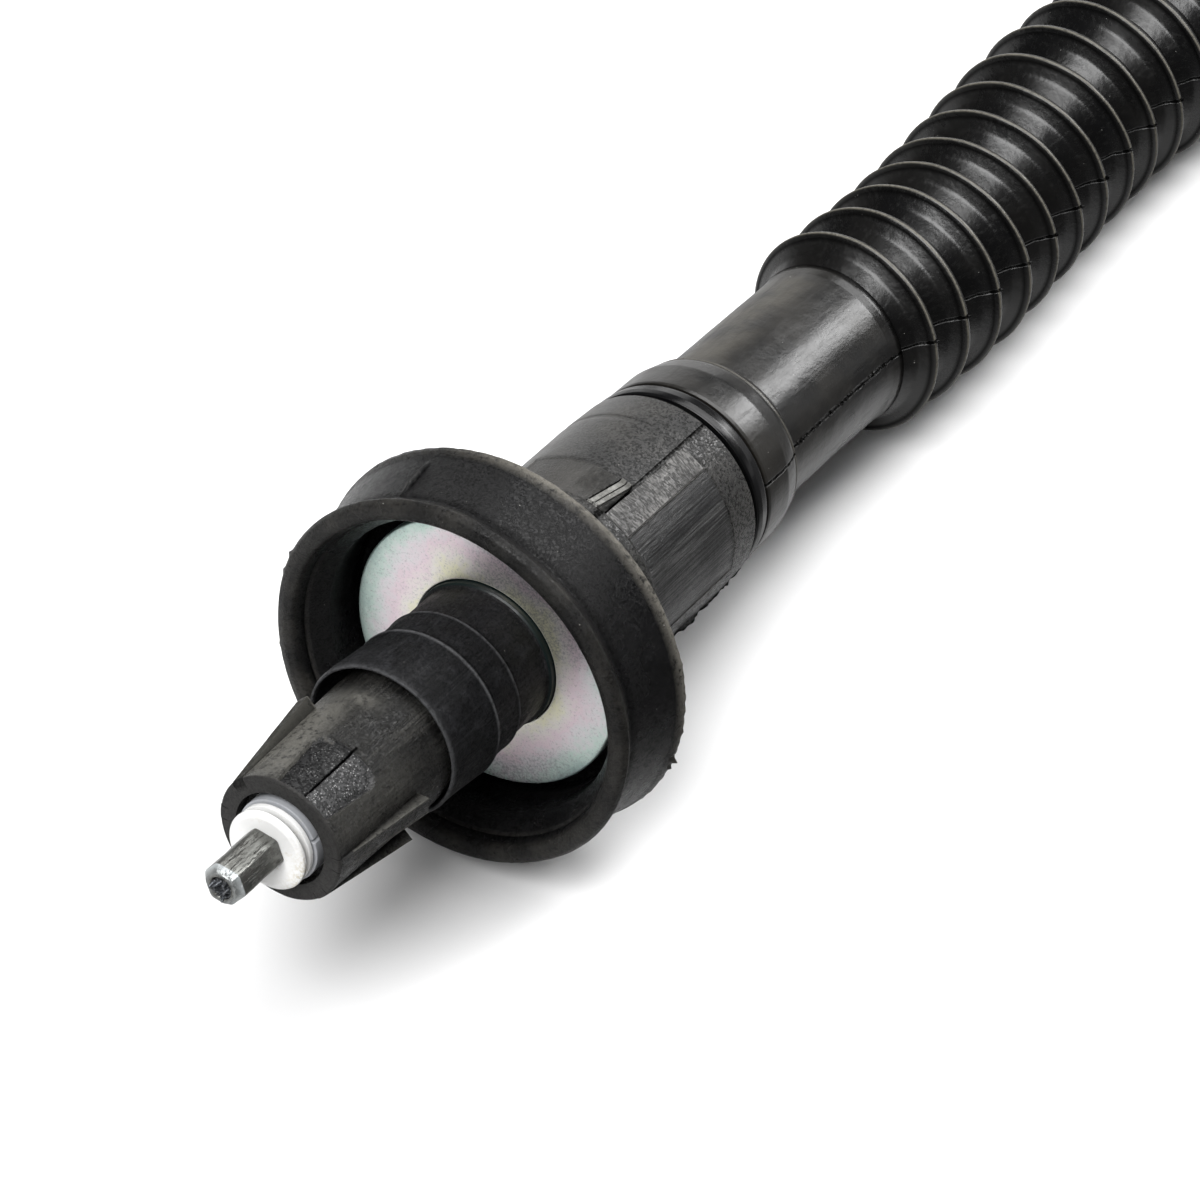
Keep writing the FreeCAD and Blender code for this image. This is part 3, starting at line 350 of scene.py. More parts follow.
class Shade(Tree):
    """The tree of a material, with the patterns that its finishes share."""

    def __init__(self, name: str, reading: Reading) -> None:
        """Make a material whose patterns lie in millimetres on the cable's axis.

        Args:
            name: The material's name.
            reading: Whether the place comes from the mesh's own attribute or from Object coordinates.
        """
        self.material = bpy.data.materials.new(name)
        self.material.use_nodes = True
        super().__init__(self.material.node_tree)
        self.painted = reading is Reading.ATTRIBUTE
        if self.painted:
            self.spot = self.add("ShaderNodeAttribute", {"attribute_name": "place"}, {}, "Vector")
        else:
            turn = Matrix((LINE.ahead, LINE.up, LINE.side)).transposed()
            self.spot = self.add("ShaderNodeMapping", {"vector_type": "TEXTURE"}, {
                "Vector": self.add("ShaderNodeTexCoord", {}, {}, "Object"), "Location": LINE.origin,
                "Rotation": turn.to_euler(), "Scale": (MM, MM, MM)}, "Vector")

    def mark(self, name: str) -> Number:
        """A number painted on the mesh, or nothing on a mesh that carries none."""
        return self.add("ShaderNodeAttribute", {"attribute_name": name}, {}, "Fac") if self.painted else 0.0

    def cloud(self, scale: float, detail: float = 3.0, rough: float = 0.55, stretch: Triple = EVEN,
              shift: float = 0.0) -> Wire:
        """Noise over the surface.

        Args:
            scale: Patches per millimetre.
            detail: How many finer layers it has.
            rough: How strong the finer layers are.
            stretch: Factors on the three directions of the axis.
            shift: Moves the pattern, so that two clouds differ.

        Returns:
            The noise, from zero to one.
        """
        where = self.spot.vector("MULTIPLY", stretch).vector("ADD", (shift, shift * 0.7, -shift))
        return self.add("ShaderNodeTexNoise", {}, {
            "Vector": where, "Scale": scale, "Detail": detail, "Roughness": rough}, "Fac")

    def specks(self, scale: float, share: float, width: float, shift: float) -> Wire:
        """Small round specks.

        Args:
            scale: Cells per millimetre.
            share: The share of cells that hold a speck.
            width: The speck's radius as a part of its cell.
            shift: Moves the pattern.

        Returns:
            One on a speck and zero off it.
        """
        where = self.spot.vector("ADD", (shift, -shift, shift * 0.5))
        cell = self.add("ShaderNodeTexVoronoi", {}, {"Vector": where, "Scale": scale}, "Distance")
        return (1.0 - cell.between(width * 0.4, width)) * cell.beside("Color").parts()[0].over(1.0 - share)

    def grit(self, scale: float, stretch: Triple) -> Wire:
        """Close-set small pits, each as deep as its own lot, with torn edges.

        Args:
            scale: Pits per millimetre.
            stretch: Factors on the three directions of the axis.

        Returns:
            One in a pit and zero off it.
        """
        torn = self.cloud(scale * 1.6, 3.0, 0.75, stretch, 5.0)
        cell = self.add("ShaderNodeTexVoronoi", {}, {
            "Vector": self.spot.vector("MULTIPLY", stretch), "Scale": scale}, "Color").parts()[0]
        return (cell * 0.55 + torn * 0.9).between(0.48, 0.98)

    def angle(self) -> Wire:
        """The angle round the axis in degrees, from -180 to 180."""
        _, up, side = self.spot.parts()
        return side.angle_from(up) * (180.0 / math.pi)

    def finish(self, height: Optional[Wire] = None, matt: Optional[Number] = None,
               **sockets: object) -> bpy.types.Material:
        """Close the tree with the surface shader.

        Args:
            height: The relief in millimetres.
            matt: How much of a dull, powdery surface lies over the shader.
            **sockets: The shader's inputs, with spaces in their names written as underscores.

        Returns:
            The material.
        """
        if height is not None:
            sockets["Normal"] = self.add("ShaderNodeBump", {}, {
                "Height": height, "Distance": MM, "Strength": 1.0}, "Normal")
        shader = self.add("ShaderNodeBsdfPrincipled", {}, {
            name.replace("_", " "): value for name, value in sockets.items()}, "BSDF")
        if isinstance(matt, Wire):
            powder = self.add("ShaderNodeBsdfDiffuse", {}, {
                "Color": sockets["Base_Color"], "Normal": sockets["Normal"]}, "BSDF")
            shader = self.add("ShaderNodeMixShader", {}, {0: matt, 1: shader, 2: powder}, "Shader")
        self.close("ShaderNodeOutputMaterial", shader)
        return self.material


class Finish:
    """A named finish that can paint the tree of a material."""

    def material(self, reading: Reading = Reading.ATTRIBUTE) -> bpy.types.Material:
        """Build the material, whose place on the axis comes from where the reading says."""
        return self.paint(Shade(self.name, reading))


@dataclass(frozen=True)
class Moulded(Finish):
    """Moulded rubber or plastic: a dark tone, a worn tone in patches, grain, dust, worn edges and painted
    highlights.

    A dull, powdery surface lies over the shine where the piece is dusty, pitted or worn, and under soot and
    painted shade.
    """

    name: str
    tone: Triple = (0.008, 0.008, 0.0085)
    worn: Triple = (0.02, 0.019, 0.018)
    patch: float = 0.09
    rough: Pair = (0.40, 0.55)
    grain: float = 4.0
    grain_rise: float = 0.02
    brushed: float = 0.0
    dust: float = 0.03
    # Colours of the edge mark, for worn edges and painted highlights, and of the soot mark, for soot and painted
    # shade; the latter also colours the pits.
    edge: Triple = (0.085, 0.082, 0.076)
    soot: Triple = (0.002, 0.002, 0.002)
    sparkle: float = 0.0
    matt: float = 0.0
    pits: float = 0.0
    pit_size: float = 3.0
    pit_stretch: Triple = EVEN
    haze: float = 0.0
    haze_tone: Triple = (0.045, 0.043, 0.040)
    # Turns over which brushing and pits show fully: painted light, as the floor's reflection on the brushed panel
    # and as grain that shows only where the highlight falls.
    painted_light_turns: Optional[Pair] = None
    shine: float = 0.5

    def paint(self, s: Shade) -> bpy.types.Material:
        """Fill the tree.

        Args:
            s: The tree.

        Returns:
            The material.
        """
        patches = s.cloud(self.patch, 4.0, 0.6).between(0.38, 0.66)
        tone = s.mixed(patches, self.tone, self.worn)
        height = s.cloud(self.grain, 2.0, 0.6, shift=3.0) * self.grain_rise
        rough = self.rough[0] + patches * (self.rough[1] - self.rough[0])
        dull: Number = self.matt + 0.25 * (patches - 0.5) if self.matt else 0.0
        # Painted light: how fully brushing and pits show at this turn.
        much: Number = 1.0 if self.painted_light_turns is None else 0.2 + 0.8 * s.angle().between(*self.painted_light_turns)
        if self.haze:
            drift = s.cloud(0.42, 6.0, 0.74, shift=17.0).between(0.46, 0.68)
            tone = s.mixed(drift * self.haze, tone, self.haze_tone)
            dull = drift * (0.5 * self.haze) + dull
        if self.brushed:
            streaks = s.cloud(3.0, 4.0, 0.75, (0.02, 1.0, 1.0)).between(0.40, 0.68)
            broad = s.cloud(0.28, 2.0, 0.5, (0.05, 1.0, 1.0), 9.0).between(0.4, 0.6)
            tone = s.mixed(streaks * self.brushed * (0.3 + 0.7 * broad) * much, tone, self.edge)
            height = height + streaks * 0.03
        if self.pits:
            pit = s.grit(self.pit_size, self.pit_stretch) * much
            tone = s.mixed(pit * self.pits, tone, self.soot)
            dull = pit * (0.6 * self.pits) + dull
            height = height - pit * 0.05
        if self.sparkle:
            # Painted glints: small bright specks with a lower roughness.
            glints = s.specks(3.6, 0.42, 0.42, 5.0) * s.cloud(0.5, 2.0, 0.5, shift=7.0).between(0.30, 0.6)
            tone = s.mixed(glints * self.sparkle, tone, (0.34, 0.34, 0.34))
            rough = rough - glints * 0.2
        if self.dust:
            specks = s.specks(0.9, self.dust, 0.09, 1.0).most(s.specks(2.3, self.dust, 0.12, 4.0) * 0.6)
            tone = s.mixed(specks, tone, (0.33, 0.32, 0.30))
        if s.painted:
            # The edge mark lightens worn edges and painted highlights; the soot mark darkens soot and painted
            # shade.
            ragged = s.cloud(1.2, 3.0, 0.7, shift=2.0)
            edge = s.mark("edge") * ragged.between(0.25, 0.55)
            soot = s.mark("soot") * (0.6 + 0.4 * ragged.between(0.3, 0.6))
            tone = s.mixed(soot, s.mixed(edge, tone, self.edge), self.soot)
            dull = edge * 0.4 + soot + dull
        return s.finish(height, dull, Base_Color=tone, Roughness=rough, IOR=1.5,
                        Specular_IOR_Level=self.shine)


@dataclass(frozen=True)
class ZincPlate(Finish):
    """Zinc-plated steel whose passivation shimmers pink, mint and cream, with painted dark reflections."""

    name: str = "zinc_plate"
    hole: float = 11.0
    rim: float = 20.0
    tints: tuple[tuple[float, Triple], ...] = (
        (0.02, (0.90, 0.88, 0.66)), (0.20, (0.90, 0.86, 0.82)), (0.40, (0.90, 0.76, 0.82)),
        (0.58, (0.86, 0.84, 0.86)), (0.78, (0.70, 0.84, 0.78)), (0.98, (0.50, 0.66, 0.62)))

    def paint(self, s: Shade) -> bpy.types.Material:
        """Fill the tree.

        Args:
            s: The tree.

        Returns:
            The material.
        """
        drift = s.cloud(0.09, 2.0, 0.5, shift=11.0)
        mottle = s.cloud(1.1, 3.0, 0.6, shift=2.0)
        grain = s.cloud(3.4, 3.0, 0.7, shift=6.0)
        _, up, side = s.spot.parts()
        out = ((up * up + side * side).root() - self.hole) / (self.rim - self.hole)
        tint = s.add("ShaderNodeValToRGB", {}, {
            "Fac": out * 0.8 + (drift - 0.5) * 1.1 + (mottle - 0.5) * 0.35 + 0.05}, "Color")
        stops = tint.socket.node.color_ramp.elements
        for _ in self.tints[2:]:
            stops.new(0.5)
        for stop, (at, tone) in zip(stops, self.tints):
            stop.position, stop.color = at, (*tone, 1.0)
        # Painted reflection of the dark parts nearby: a darker, bluish band from the upper side round towards the
        # side, and a patch on the outer part of the lower side.
        turn = s.angle() + (drift - 0.5) * 60.0
        shade = turn.between(-22.0, 8.0) * (1.0 - turn.between(62.0, 84.0))
        shade = shade.most(turn.between(126.0, 150.0) * out.between(0.35, 0.75))
        shade = shade * (0.35 + 0.9 * grain.between(0.35, 0.65))
        tint = s.mixed(shade * 0.42, tint, (0.16, 0.165, 0.20))
        tint = s.mixed(1.0 - out.between(0.01, 0.035), tint, (0.95, 0.93, 0.84))
        tint = s.mixed(grain.between(0.52, 0.72) * 0.5, tint, (0.30, 0.31, 0.32))
        rolled = s.cloud(2.4, 2.0, 0.5, (1.0, 0.25, 1.4), 8.0)
        return s.finish(rolled * 0.02 + mottle * 0.03, Base_Color=tint, Metallic=0.85,
                        Roughness=0.34 + 0.18 * mottle)


@dataclass(frozen=True)
class Steel(Finish):
    """Bare or crimped steel with dark scratches along the axis, and a painted highlight where the mesh marks its
    edge.
    """

    name: str
    tone: Triple
    grime: float
    rough: float

    def paint(self, s: Shade) -> bpy.types.Material:
        """Fill the tree.

        Args:
            s: The tree.

        Returns:
            The material.
        """
        scores = s.cloud(3.0, 5.0, 0.8, (0.09, 1.0, 1.0)).between(0.53, 0.60)
        blots = s.cloud(0.9, 5.0, 0.75, (0.7, 1.0, 1.0), 5.0).between(0.45, 0.62)
        dirt = (scores * (0.35 + 0.5 * blots) + blots * 0.55).least(1.0) * self.grime
        # The edge mark is a painted highlight: lighter, less metallic steel.
        bright = s.mark("edge")
        tone = s.mixed(dirt * (1.0 - bright), self.tone, (0.035, 0.032, 0.026))
        fine = s.cloud(6.0, 2.0, 0.5, (0.4, 1.0, 1.0), 2.0)
        tone = s.mixed(bright, tone, (0.50, 0.53, 0.54))
        metal = (1.0 - 0.55 * dirt) * (1.0 - 0.55 * bright)
        return s.finish(fine * 0.02 - scores * 0.05, Base_Color=tone, Metallic=metal,
                        Roughness=self.rough + 0.25 * dirt)


@dataclass(frozen=True)
class Acetal(Finish):
    """White, grey or natural acetal with faint smudges."""

    name: str
    tone: Triple
    smudge: Triple = (0.62, 0.57, 0.46)
    rough: float = 0.36
    clear: float = 0.0

    def paint(self, s: Shade) -> bpy.types.Material:
        """Fill the tree.

        Args:
            s: The tree.

        Returns:
            The material.
        """
        stain = s.cloud(0.9, 4.0, 0.65, shift=13.0).between(0.56, 0.74)
        tone = s.mixed(stain * 0.45, self.tone, self.smudge)
        tone = s.mixed(s.specks(1.6, 0.05, 0.12, 3.0), tone, (0.12, 0.11, 0.10))
        if s.painted:
            rag = s.cloud(2.2, 4.0, 0.7, shift=9.0)
            tone = s.mixed(s.mark("edge") * rag.between(0.42, 0.62), tone, self.smudge)
            # The soot mark is painted shade in the bush's groove and crease, with a greying of its sides.
            tone = s.mixed(s.mark("soot"), tone, (0.10, 0.098, 0.095))
        return s.finish(s.cloud(3.0, 2.0, 0.5) * 0.02, Base_Color=tone, Roughness=self.rough + 0.12 * stain,
                        Subsurface_Weight=self.clear, Subsurface_Radius=(1.2, 1.2, 1.2), Subsurface_Scale=MM)


CUP_RUBBER = Moulded("cup_rubber", (0.0020, 0.0020, 0.0023), (0.0062, 0.0060, 0.0062), 0.07, (0.24, 0.36),
                     2.2, 0.030, 0.0, 0.06, (0.165, 0.155, 0.135), haze=0.30,
                     haze_tone=(0.020, 0.0195, 0.0210), pits=0.45, pit_size=3.8, shine=0.22)
SLEEVE_RUBBER = Moulded("sleeve_rubber", (0.0022, 0.0023, 0.0028), (0.0075, 0.0076, 0.0086), 0.12,
                        (0.36, 0.5), 3.0, 0.03, 0.16, 0.05, (0.095, 0.096, 0.100), matt=0.30, haze=0.70,
                        haze_tone=(0.032, 0.0325, 0.0350), pits=0.4, pit_size=3.4, shine=0.36)
ROOT_RUBBER = Moulded("root_rubber", (0.003, 0.007, 0.007), (0.006, 0.012, 0.012), 0.2, (0.35, 0.45),
                      3.0, 0.02, 0.0, 0.02, matt=0.3)
# The grained shells' pits show mostly on the side where the highlight falls, as painted light.
GRAINED = Moulded("grained_nylon", (0.0160, 0.0157, 0.0152), (0.042, 0.0400, 0.0365), 0.10, (0.28, 0.38),
                  3.2, 0.05, pits=0.75, pit_size=3.5, haze=0.3, haze_tone=(0.080, 0.078, 0.074),
                  painted_light_turns=(-30.0, 12.0))
SATIN = Moulded("satin_nylon", (0.016, 0.0155, 0.014), (0.036, 0.0335, 0.030), 0.10, (0.34, 0.44),
                3.0, 0.015, 0.45, 0.01, (0.080, 0.077, 0.070), pits=0.2, pit_size=3.2)
# The brushed panel's streaks lighten towards its lower side, as a painted reflection of the floor.
BRUSHED = Moulded("brushed_nylon", (0.0026, 0.0026, 0.0029), (0.0066, 0.0066, 0.0070), 0.10, (0.28, 0.38),
                  4.0, 0.01, 0.85, 0.04, (0.230, 0.227, 0.222), matt=0.15, pits=0.15, pit_size=3.2,
                  painted_light_turns=(50.0, 92.0))
STRIP = Moulded("bright_strip_nylon", (0.085, 0.083, 0.081), (0.180, 0.176, 0.170), 0.22, (0.28, 0.40),
                3.4, 0.05, 0.6, 0.01, (0.24, 0.238, 0.23), pits=0.75, pit_size=3.3,
                pit_stretch=(1.7, 0.6, 0.6))
LATCH = Moulded("latch_rib_nylon", (0.16, 0.158, 0.145), (0.24, 0.238, 0.222), 0.5, (0.40, 0.5), 3.0, 0.01,
                pits=0.3)
NOSE = Moulded("nose_nylon_skin", (0.0052, 0.0051, 0.0049), (0.0150, 0.0146, 0.0137), 0.30, (0.22, 0.34),
               3.0, 0.015, 0.30, 0.02, (0.125, 0.121, 0.108), matt=0.08, haze=0.5,
               haze_tone=(0.036, 0.0352, 0.0335), pits=0.5, pit_size=3.8, shine=0.35)
# The pockets' floors: a lit copy of the nylon and a copy with painted shade, for the halves facing towards and
# away from the light.
POCKET_PAINTED_LIT = Moulded("pocket_nylon", (0.024, 0.024, 0.0248), (0.042, 0.042, 0.043), 0.3, (0.30, 0.40),
                 3.2, 0.05, 0.0, 0.02, sparkle=1.0, pits=0.8, pit_size=3.6)
POCKET_PAINTED_SHADE = Moulded("pocket_shaded_nylon", (0.0045, 0.0045, 0.0048), (0.0130, 0.0130, 0.0135), 0.3,
                      (0.40, 0.5), 3.2, 0.04, 0.0, 0.02, sparkle=0.4, pits=0.7, pit_size=3.6, matt=0.3)
NOSE_FACE = Moulded("nose_face_nylon", (0.012, 0.0112, 0.0105), (0.020, 0.0188, 0.0175), 0.2, (0.6, 0.7),
                    3.0, 0.03, 0.0, 0.05, haze=0.3, pits=0.3, pit_size=3.4)
GLOSSY = Moulded("glossy_acetal", (0.0025, 0.0025, 0.003), (0.0045, 0.0045, 0.0045), 0.2, (0.20, 0.26),
                 3.0, 0.004, 0.0, 0.01, matt=0.3)
INNER_BLACK = Moulded("inner_black_acetal", (0.01, 0.01, 0.011), (0.02, 0.02, 0.02))
CONDUIT = Moulded("conduit_plastic", (0.006, 0.006, 0.006), (0.012, 0.012, 0.012), 0.1, (0.3, 0.4))
WHITE = Acetal("white_acetal_skin", (0.88, 0.88, 0.87), clear=0.15)
GREY = Acetal("grey_acetal_skin", (0.34, 0.35, 0.37), (0.45, 0.44, 0.40))
NATURAL = Acetal("natural_acetal_skin", (0.74, 0.72, 0.64))
CRIMP = Steel("crimp_steel", (0.165, 0.167, 0.157), 0.95, 0.30)
FRAYED = Steel("frayed_wire_steel", (0.16, 0.17, 0.185), 0.95, 0.42)
STRAND = Steel("strand_steel", (0.30, 0.31, 0.33), 0.6, 0.28)
HARD_STEEL = Steel("hardened_steel", (0.5, 0.5, 0.5), 0.2, 0.3)
OILED = Steel("oiled_spring_steel", (0.32, 0.32, 0.34), 0.5, 0.35)


# ---------------------------------------------------------------- mesh helpers

def linked(name: str, data: bpy.types.ID) -> bpy.types.Object:
    """Put an object with some data into the scene.

    Args:
        name: The object's name.
        data: Its mesh, lamp or camera.

    Returns:
        The object.
    """
    piece = bpy.data.objects.new(name, data)
    bpy.context.scene.collection.objects.link(piece)
    return piece


def rounded(corners: Sequence[tuple[float, ...]], closed: bool = True, steps: int = 4,
            longest: float = 3.0) -> np.ndarray:
    """Turn corners into a smooth outline.

    Args:
        corners: Each as (station, radius), with the round of the corner as a third number.
        closed: Whether the outline runs back to its first corner.
        steps: How many pieces a round is made of.
        longest: Straight runs are divided so that no piece is longer.

    Returns:
        The outline's points as rows of (station, radius).
    """
    spots = [np.array(c[:2], float) for c in corners]
    count = len(spots)
    line: list[np.ndarray] = []
    for i, (at, corner) in enumerate(zip(spots, corners)):
        if len(corner) < 3 or (not closed and i in (0, count - 1)):
            line.append(at)
            continue
        before, after = spots[i - 1] - at, spots[(i + 1) % count] - at
        a, b = before / np.linalg.norm(before), after / np.linalg.norm(after)
        half = math.acos(max(-1.0, min(1.0, float(a @ b)))) / 2
        room = ROUND_SHARE * min(np.linalg.norm(before), np.linalg.norm(after))
        reach = min(corner[2] / math.tan(half), room)
        for t in (k / steps for k in range(steps + 1)):
            line.append(at + a * reach * (1 - t) ** 2 + b * reach * t ** 2)
    dense: list[np.ndarray] = []
    for a, b in zip(line, line[1:] + (line[:1] if closed else [])):
        pieces = max(1, math.ceil(float(np.linalg.norm(b - a)) / longest))
        dense += [a + (b - a) * k / pieces for k in range(pieces)]
    return np.array(dense if closed else dense + [line[-1]])


def merged_lines(start: float, stop: float, step: float, edges: Sequence[float], wide: float) -> np.ndarray:
    """Evenly spaced lines with a close pair at every edge.

    Args:
        start: The first line.
        stop: The last line.
        step: The even spacing.
        edges: Where a panel's edge falls.
        wide: The width of an edge's slope.

    Returns:
        The lines in order.
    """
    pairs = [e + s * wide / 2 for e in edges for s in (-1, 1) if start < e + s * wide / 2 < stop]
    even = [v for v in np.arange(start, stop, step) if all(abs(v - p) > wide * 0.6 for p in pairs)]
    return np.array(sorted(set(even + pairs + [start, stop])))


def round_angles(count: int, extra: Sequence[float] = ()) -> np.ndarray:
    """Angles of a full turn, with some added."""
    even = np.arange(count) * 360.0 / count
    return np.array(sorted(set(np.round(list(even) + [v % 360.0 for v in extra], 5))))


def ramp(value: np.ndarray, low: float, high: float) -> np.ndarray:
    """Rise from zero at low to one at high in a straight line."""
    return np.clip((value - low) / (high - low), 0.0, 1.0)


def window(value: np.ndarray, low: float, high: float, wide: float) -> np.ndarray:
    """One between low and high, with a slope of the given width at both."""
    return ramp(value, low - wide / 2, low + wide / 2) * (1.0 - ramp(value, high - wide / 2, high + wide / 2))


def bell(value: np.ndarray, middle: float, wide: float) -> np.ndarray:
    """One at the middle, falling off smoothly over a width."""
    return np.exp(-((value - middle) / wide) ** 2)


def most(*fields: np.ndarray) -> np.ndarray:
    """The largest of some fields at every point."""
    return reduce(np.maximum, fields)


def near_angle(turn: np.ndarray, centre: float) -> np.ndarray:
    """How far each angle is from a centre, from -180 to 180 degrees."""
    return (turn - centre + 180.0) % 360.0 - 180.0


def polar(x: np.ndarray, r: np.ndarray, turn: np.ndarray) -> np.ndarray:
    """Points as (station, up, side) from stations, radii and angles."""
    a = np.radians(turn)
    return np.stack([x, r * np.cos(a), r * np.sin(a)], axis=-1)


def radius_of(spots: np.ndarray) -> np.ndarray:
    """How far points lie from the axis."""
    return np.hypot(spots[..., 1], spots[..., 2])


def clouds(spots: np.ndarray, scale: float, seed: float) -> np.ndarray:
    """Smooth noise at points, from about -1 to 1."""
    moved = spots.reshape(-1, 3) * scale + np.array([seed, -seed, seed * 0.5])
    return np.array([noise.noise(Vector(spot)) for spot in moved]).reshape(spots.shape[:-1])


def field_of(x: np.ndarray, r: np.ndarray, turn: np.ndarray, scale: float, seed: float) -> np.ndarray:
    """Smooth noise over a lattice of points round the axis."""
    return clouds(polar(x, r, turn), scale, seed)


def spun(outline: np.ndarray, angles: np.ndarray, change: Optional[Change] = None) -> np.ndarray:
    """Turn an outline round the axis.

    Args:
        outline: Rows of (station, radius).
        angles: The angles of the columns in degrees.
        change: Gives new stations and radii from stations, radii and angles.

    Returns:
        Points as (station, up, side), of shape (outline, angles, 3).
    """
    x, turn = np.meshgrid(outline[:, 0], angles, indexing="ij")
    r = np.repeat(outline[:, 1:2], len(angles), axis=1)
    return polar(*((x, r) if change is None else change(x, r, turn)), turn)


def settle(piece: bpy.types.Object, sharp: float) -> None:
    """Turn a closed mesh's faces outwards and shade it smooth.

    Args:
        piece: The object.
        sharp: Edges that turn by more degrees than this stay sharp.
    """
    work = bmesh.new()
    work.from_mesh(piece.data)
    bmesh.ops.dissolve_degenerate(work, dist=CLOSEST, edges=work.edges)
    bmesh.ops.recalc_face_normals(work, faces=work.faces)
    bmesh.ops.triangulate(work, faces=[f for f in work.faces if len(f.verts) > 4])
    for face in work.faces:
        face.smooth = True
    work.to_mesh(piece.data)
    work.free()
    piece.data.set_sharp_from_angle(angle=math.radians(sharp))


def to_object(name: str, spots: np.ndarray, faces: Sequence[tuple], materials: Sequence[bpy.types.Material],
              sharp: float, slots: Optional[Sequence[int]] = None,
              marks: Optional[dict[str, np.ndarray]] = None) -> bpy.types.Object:
    """Make an object from points on the axis and faces.

    Args:
        name: The object's name.
        spots: Points as (station, up, side) in millimetres.
        faces: Point numbers of each face.
        materials: The materials.
        sharp: Edges that turn by more degrees than this stay sharp.
        slots: The material of each face.
        marks: Painted numbers on the points by name.

    Returns:
        The object, with its place in its mesh.
    """
    mesh = bpy.data.meshes.new(name)
    mesh.from_pydata(LINE.place(spots).tolist(), [], [tuple(int(v) for v in f) for f in faces])
    for material in materials:
        mesh.materials.append(material)
    mesh.polygons.foreach_set("material_index", np.array(slots or [0] * len(faces), np.int32))
    where = mesh.attributes.new("place", "FLOAT_VECTOR", "POINT")
    where.data.foreach_set("vector", spots.astype(np.float32).reshape(-1))
    for key in ("edge", "soot"):
        values = (marks or {}).get(key, np.zeros(len(spots)))
        painted = mesh.attributes.new(key, "FLOAT", "POINT")
        painted.data.foreach_set("value", values.astype(np.float32).reshape(-1))
    piece = linked(name, mesh)
    settle(piece, sharp)
    return piece


def from_rings(name: str, rings: np.ndarray, finishes: Sequence[Finish], zone: Optional[np.ndarray] = None,
               sharp: float = 38.0, whole: bool = True, **marks: np.ndarray) -> bpy.types.Object:
    """Make a closed mesh from a lattice of points round the axis.

    Args:
        name: The object's name.
        rings: Points as (station, up, side) in millimetres, of shape (outline, angles, 3). The
            outline closes on itself.
        finishes: The finishes that the zones number.
        zone: The finish of each cell.
        sharp: Edges that turn by more degrees than this stay sharp.
        whole: Whether the angles close on themselves. If not, both ends are capped.
        **marks: Painted numbers of shape (outline, angles).

    Returns:
        The object, with its place in its mesh.
    """
    rows, columns = rings.shape[:2]
    index = np.arange(rows * columns).reshape(rows, columns)
    faces, slots = [], []
    for i in range(rows):
        below = index[(i + 1) % rows]
        for j in range(columns if whole else columns - 1):
            k = (j + 1) % columns
            faces.append((index[i][j], index[i][k], below[k], below[j]))
            slots.append(0 if zone is None else int(zone[i][j]))
    if not whole:
        faces += [tuple(index[:, 0]), tuple(index[::-1, -1])]
        slots += [0, 0]
    return to_object(name, rings.reshape(-1, 3), faces, [f.material() for f in finishes], sharp, slots, marks)


def from_plain(mesh: bpy.types.Mesh, start: float, forward: float, shift: Pair,
               sharp: float) -> bpy.types.Object:
    """Lay a mesh that was made along its own height on the cable's axis.

    Args:
        mesh: The mesh, in millimetres.
        start: The station of its foot.
        forward: One if it rises towards the rear, or minus one.
        shift: How far it lies off the axis, up and to the side.
        sharp: Edges that turn by more degrees than this stay sharp.

    Returns:
        The object.
    """
    spots = np.array([v.co for v in mesh.vertices])
    seat = np.stack([start + forward * spots[:, 2], spots[:, 0] + shift[0], spots[:, 1] + shift[1]], axis=-1)
    faces = [tuple(p.vertices) for p in mesh.polygons]
    return to_object(mesh.name, seat, faces, [mesh.materials[-1]], sharp)


def triangles(piece: bpy.types.Object) -> int:
    """How many triangles an object's faces make."""
    return sum(len(p.vertices) - 2 for p in piece.data.polygons)


def take_part(piece: bpy.types.Object, body: str, slot: str, *nodes: str) -> bpy.types.Object:
    """Let a finished piece ride on its body and stand for its CAD nodes.

    Args:
        piece: The finished object.
        body: The body that it moves with.
        slot: The record's material slot; not used.
        *nodes: CAD nodes that it replaces.

    Returns:
        The same object.
    """
    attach(piece, body)
    if nodes:
        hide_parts(*nodes)
    log.info("%s rides on %s, %d triangles", piece.name, body, triangles(piece))
    return piece


# ---------------------------------------------------------------- washer, cup and sleeve

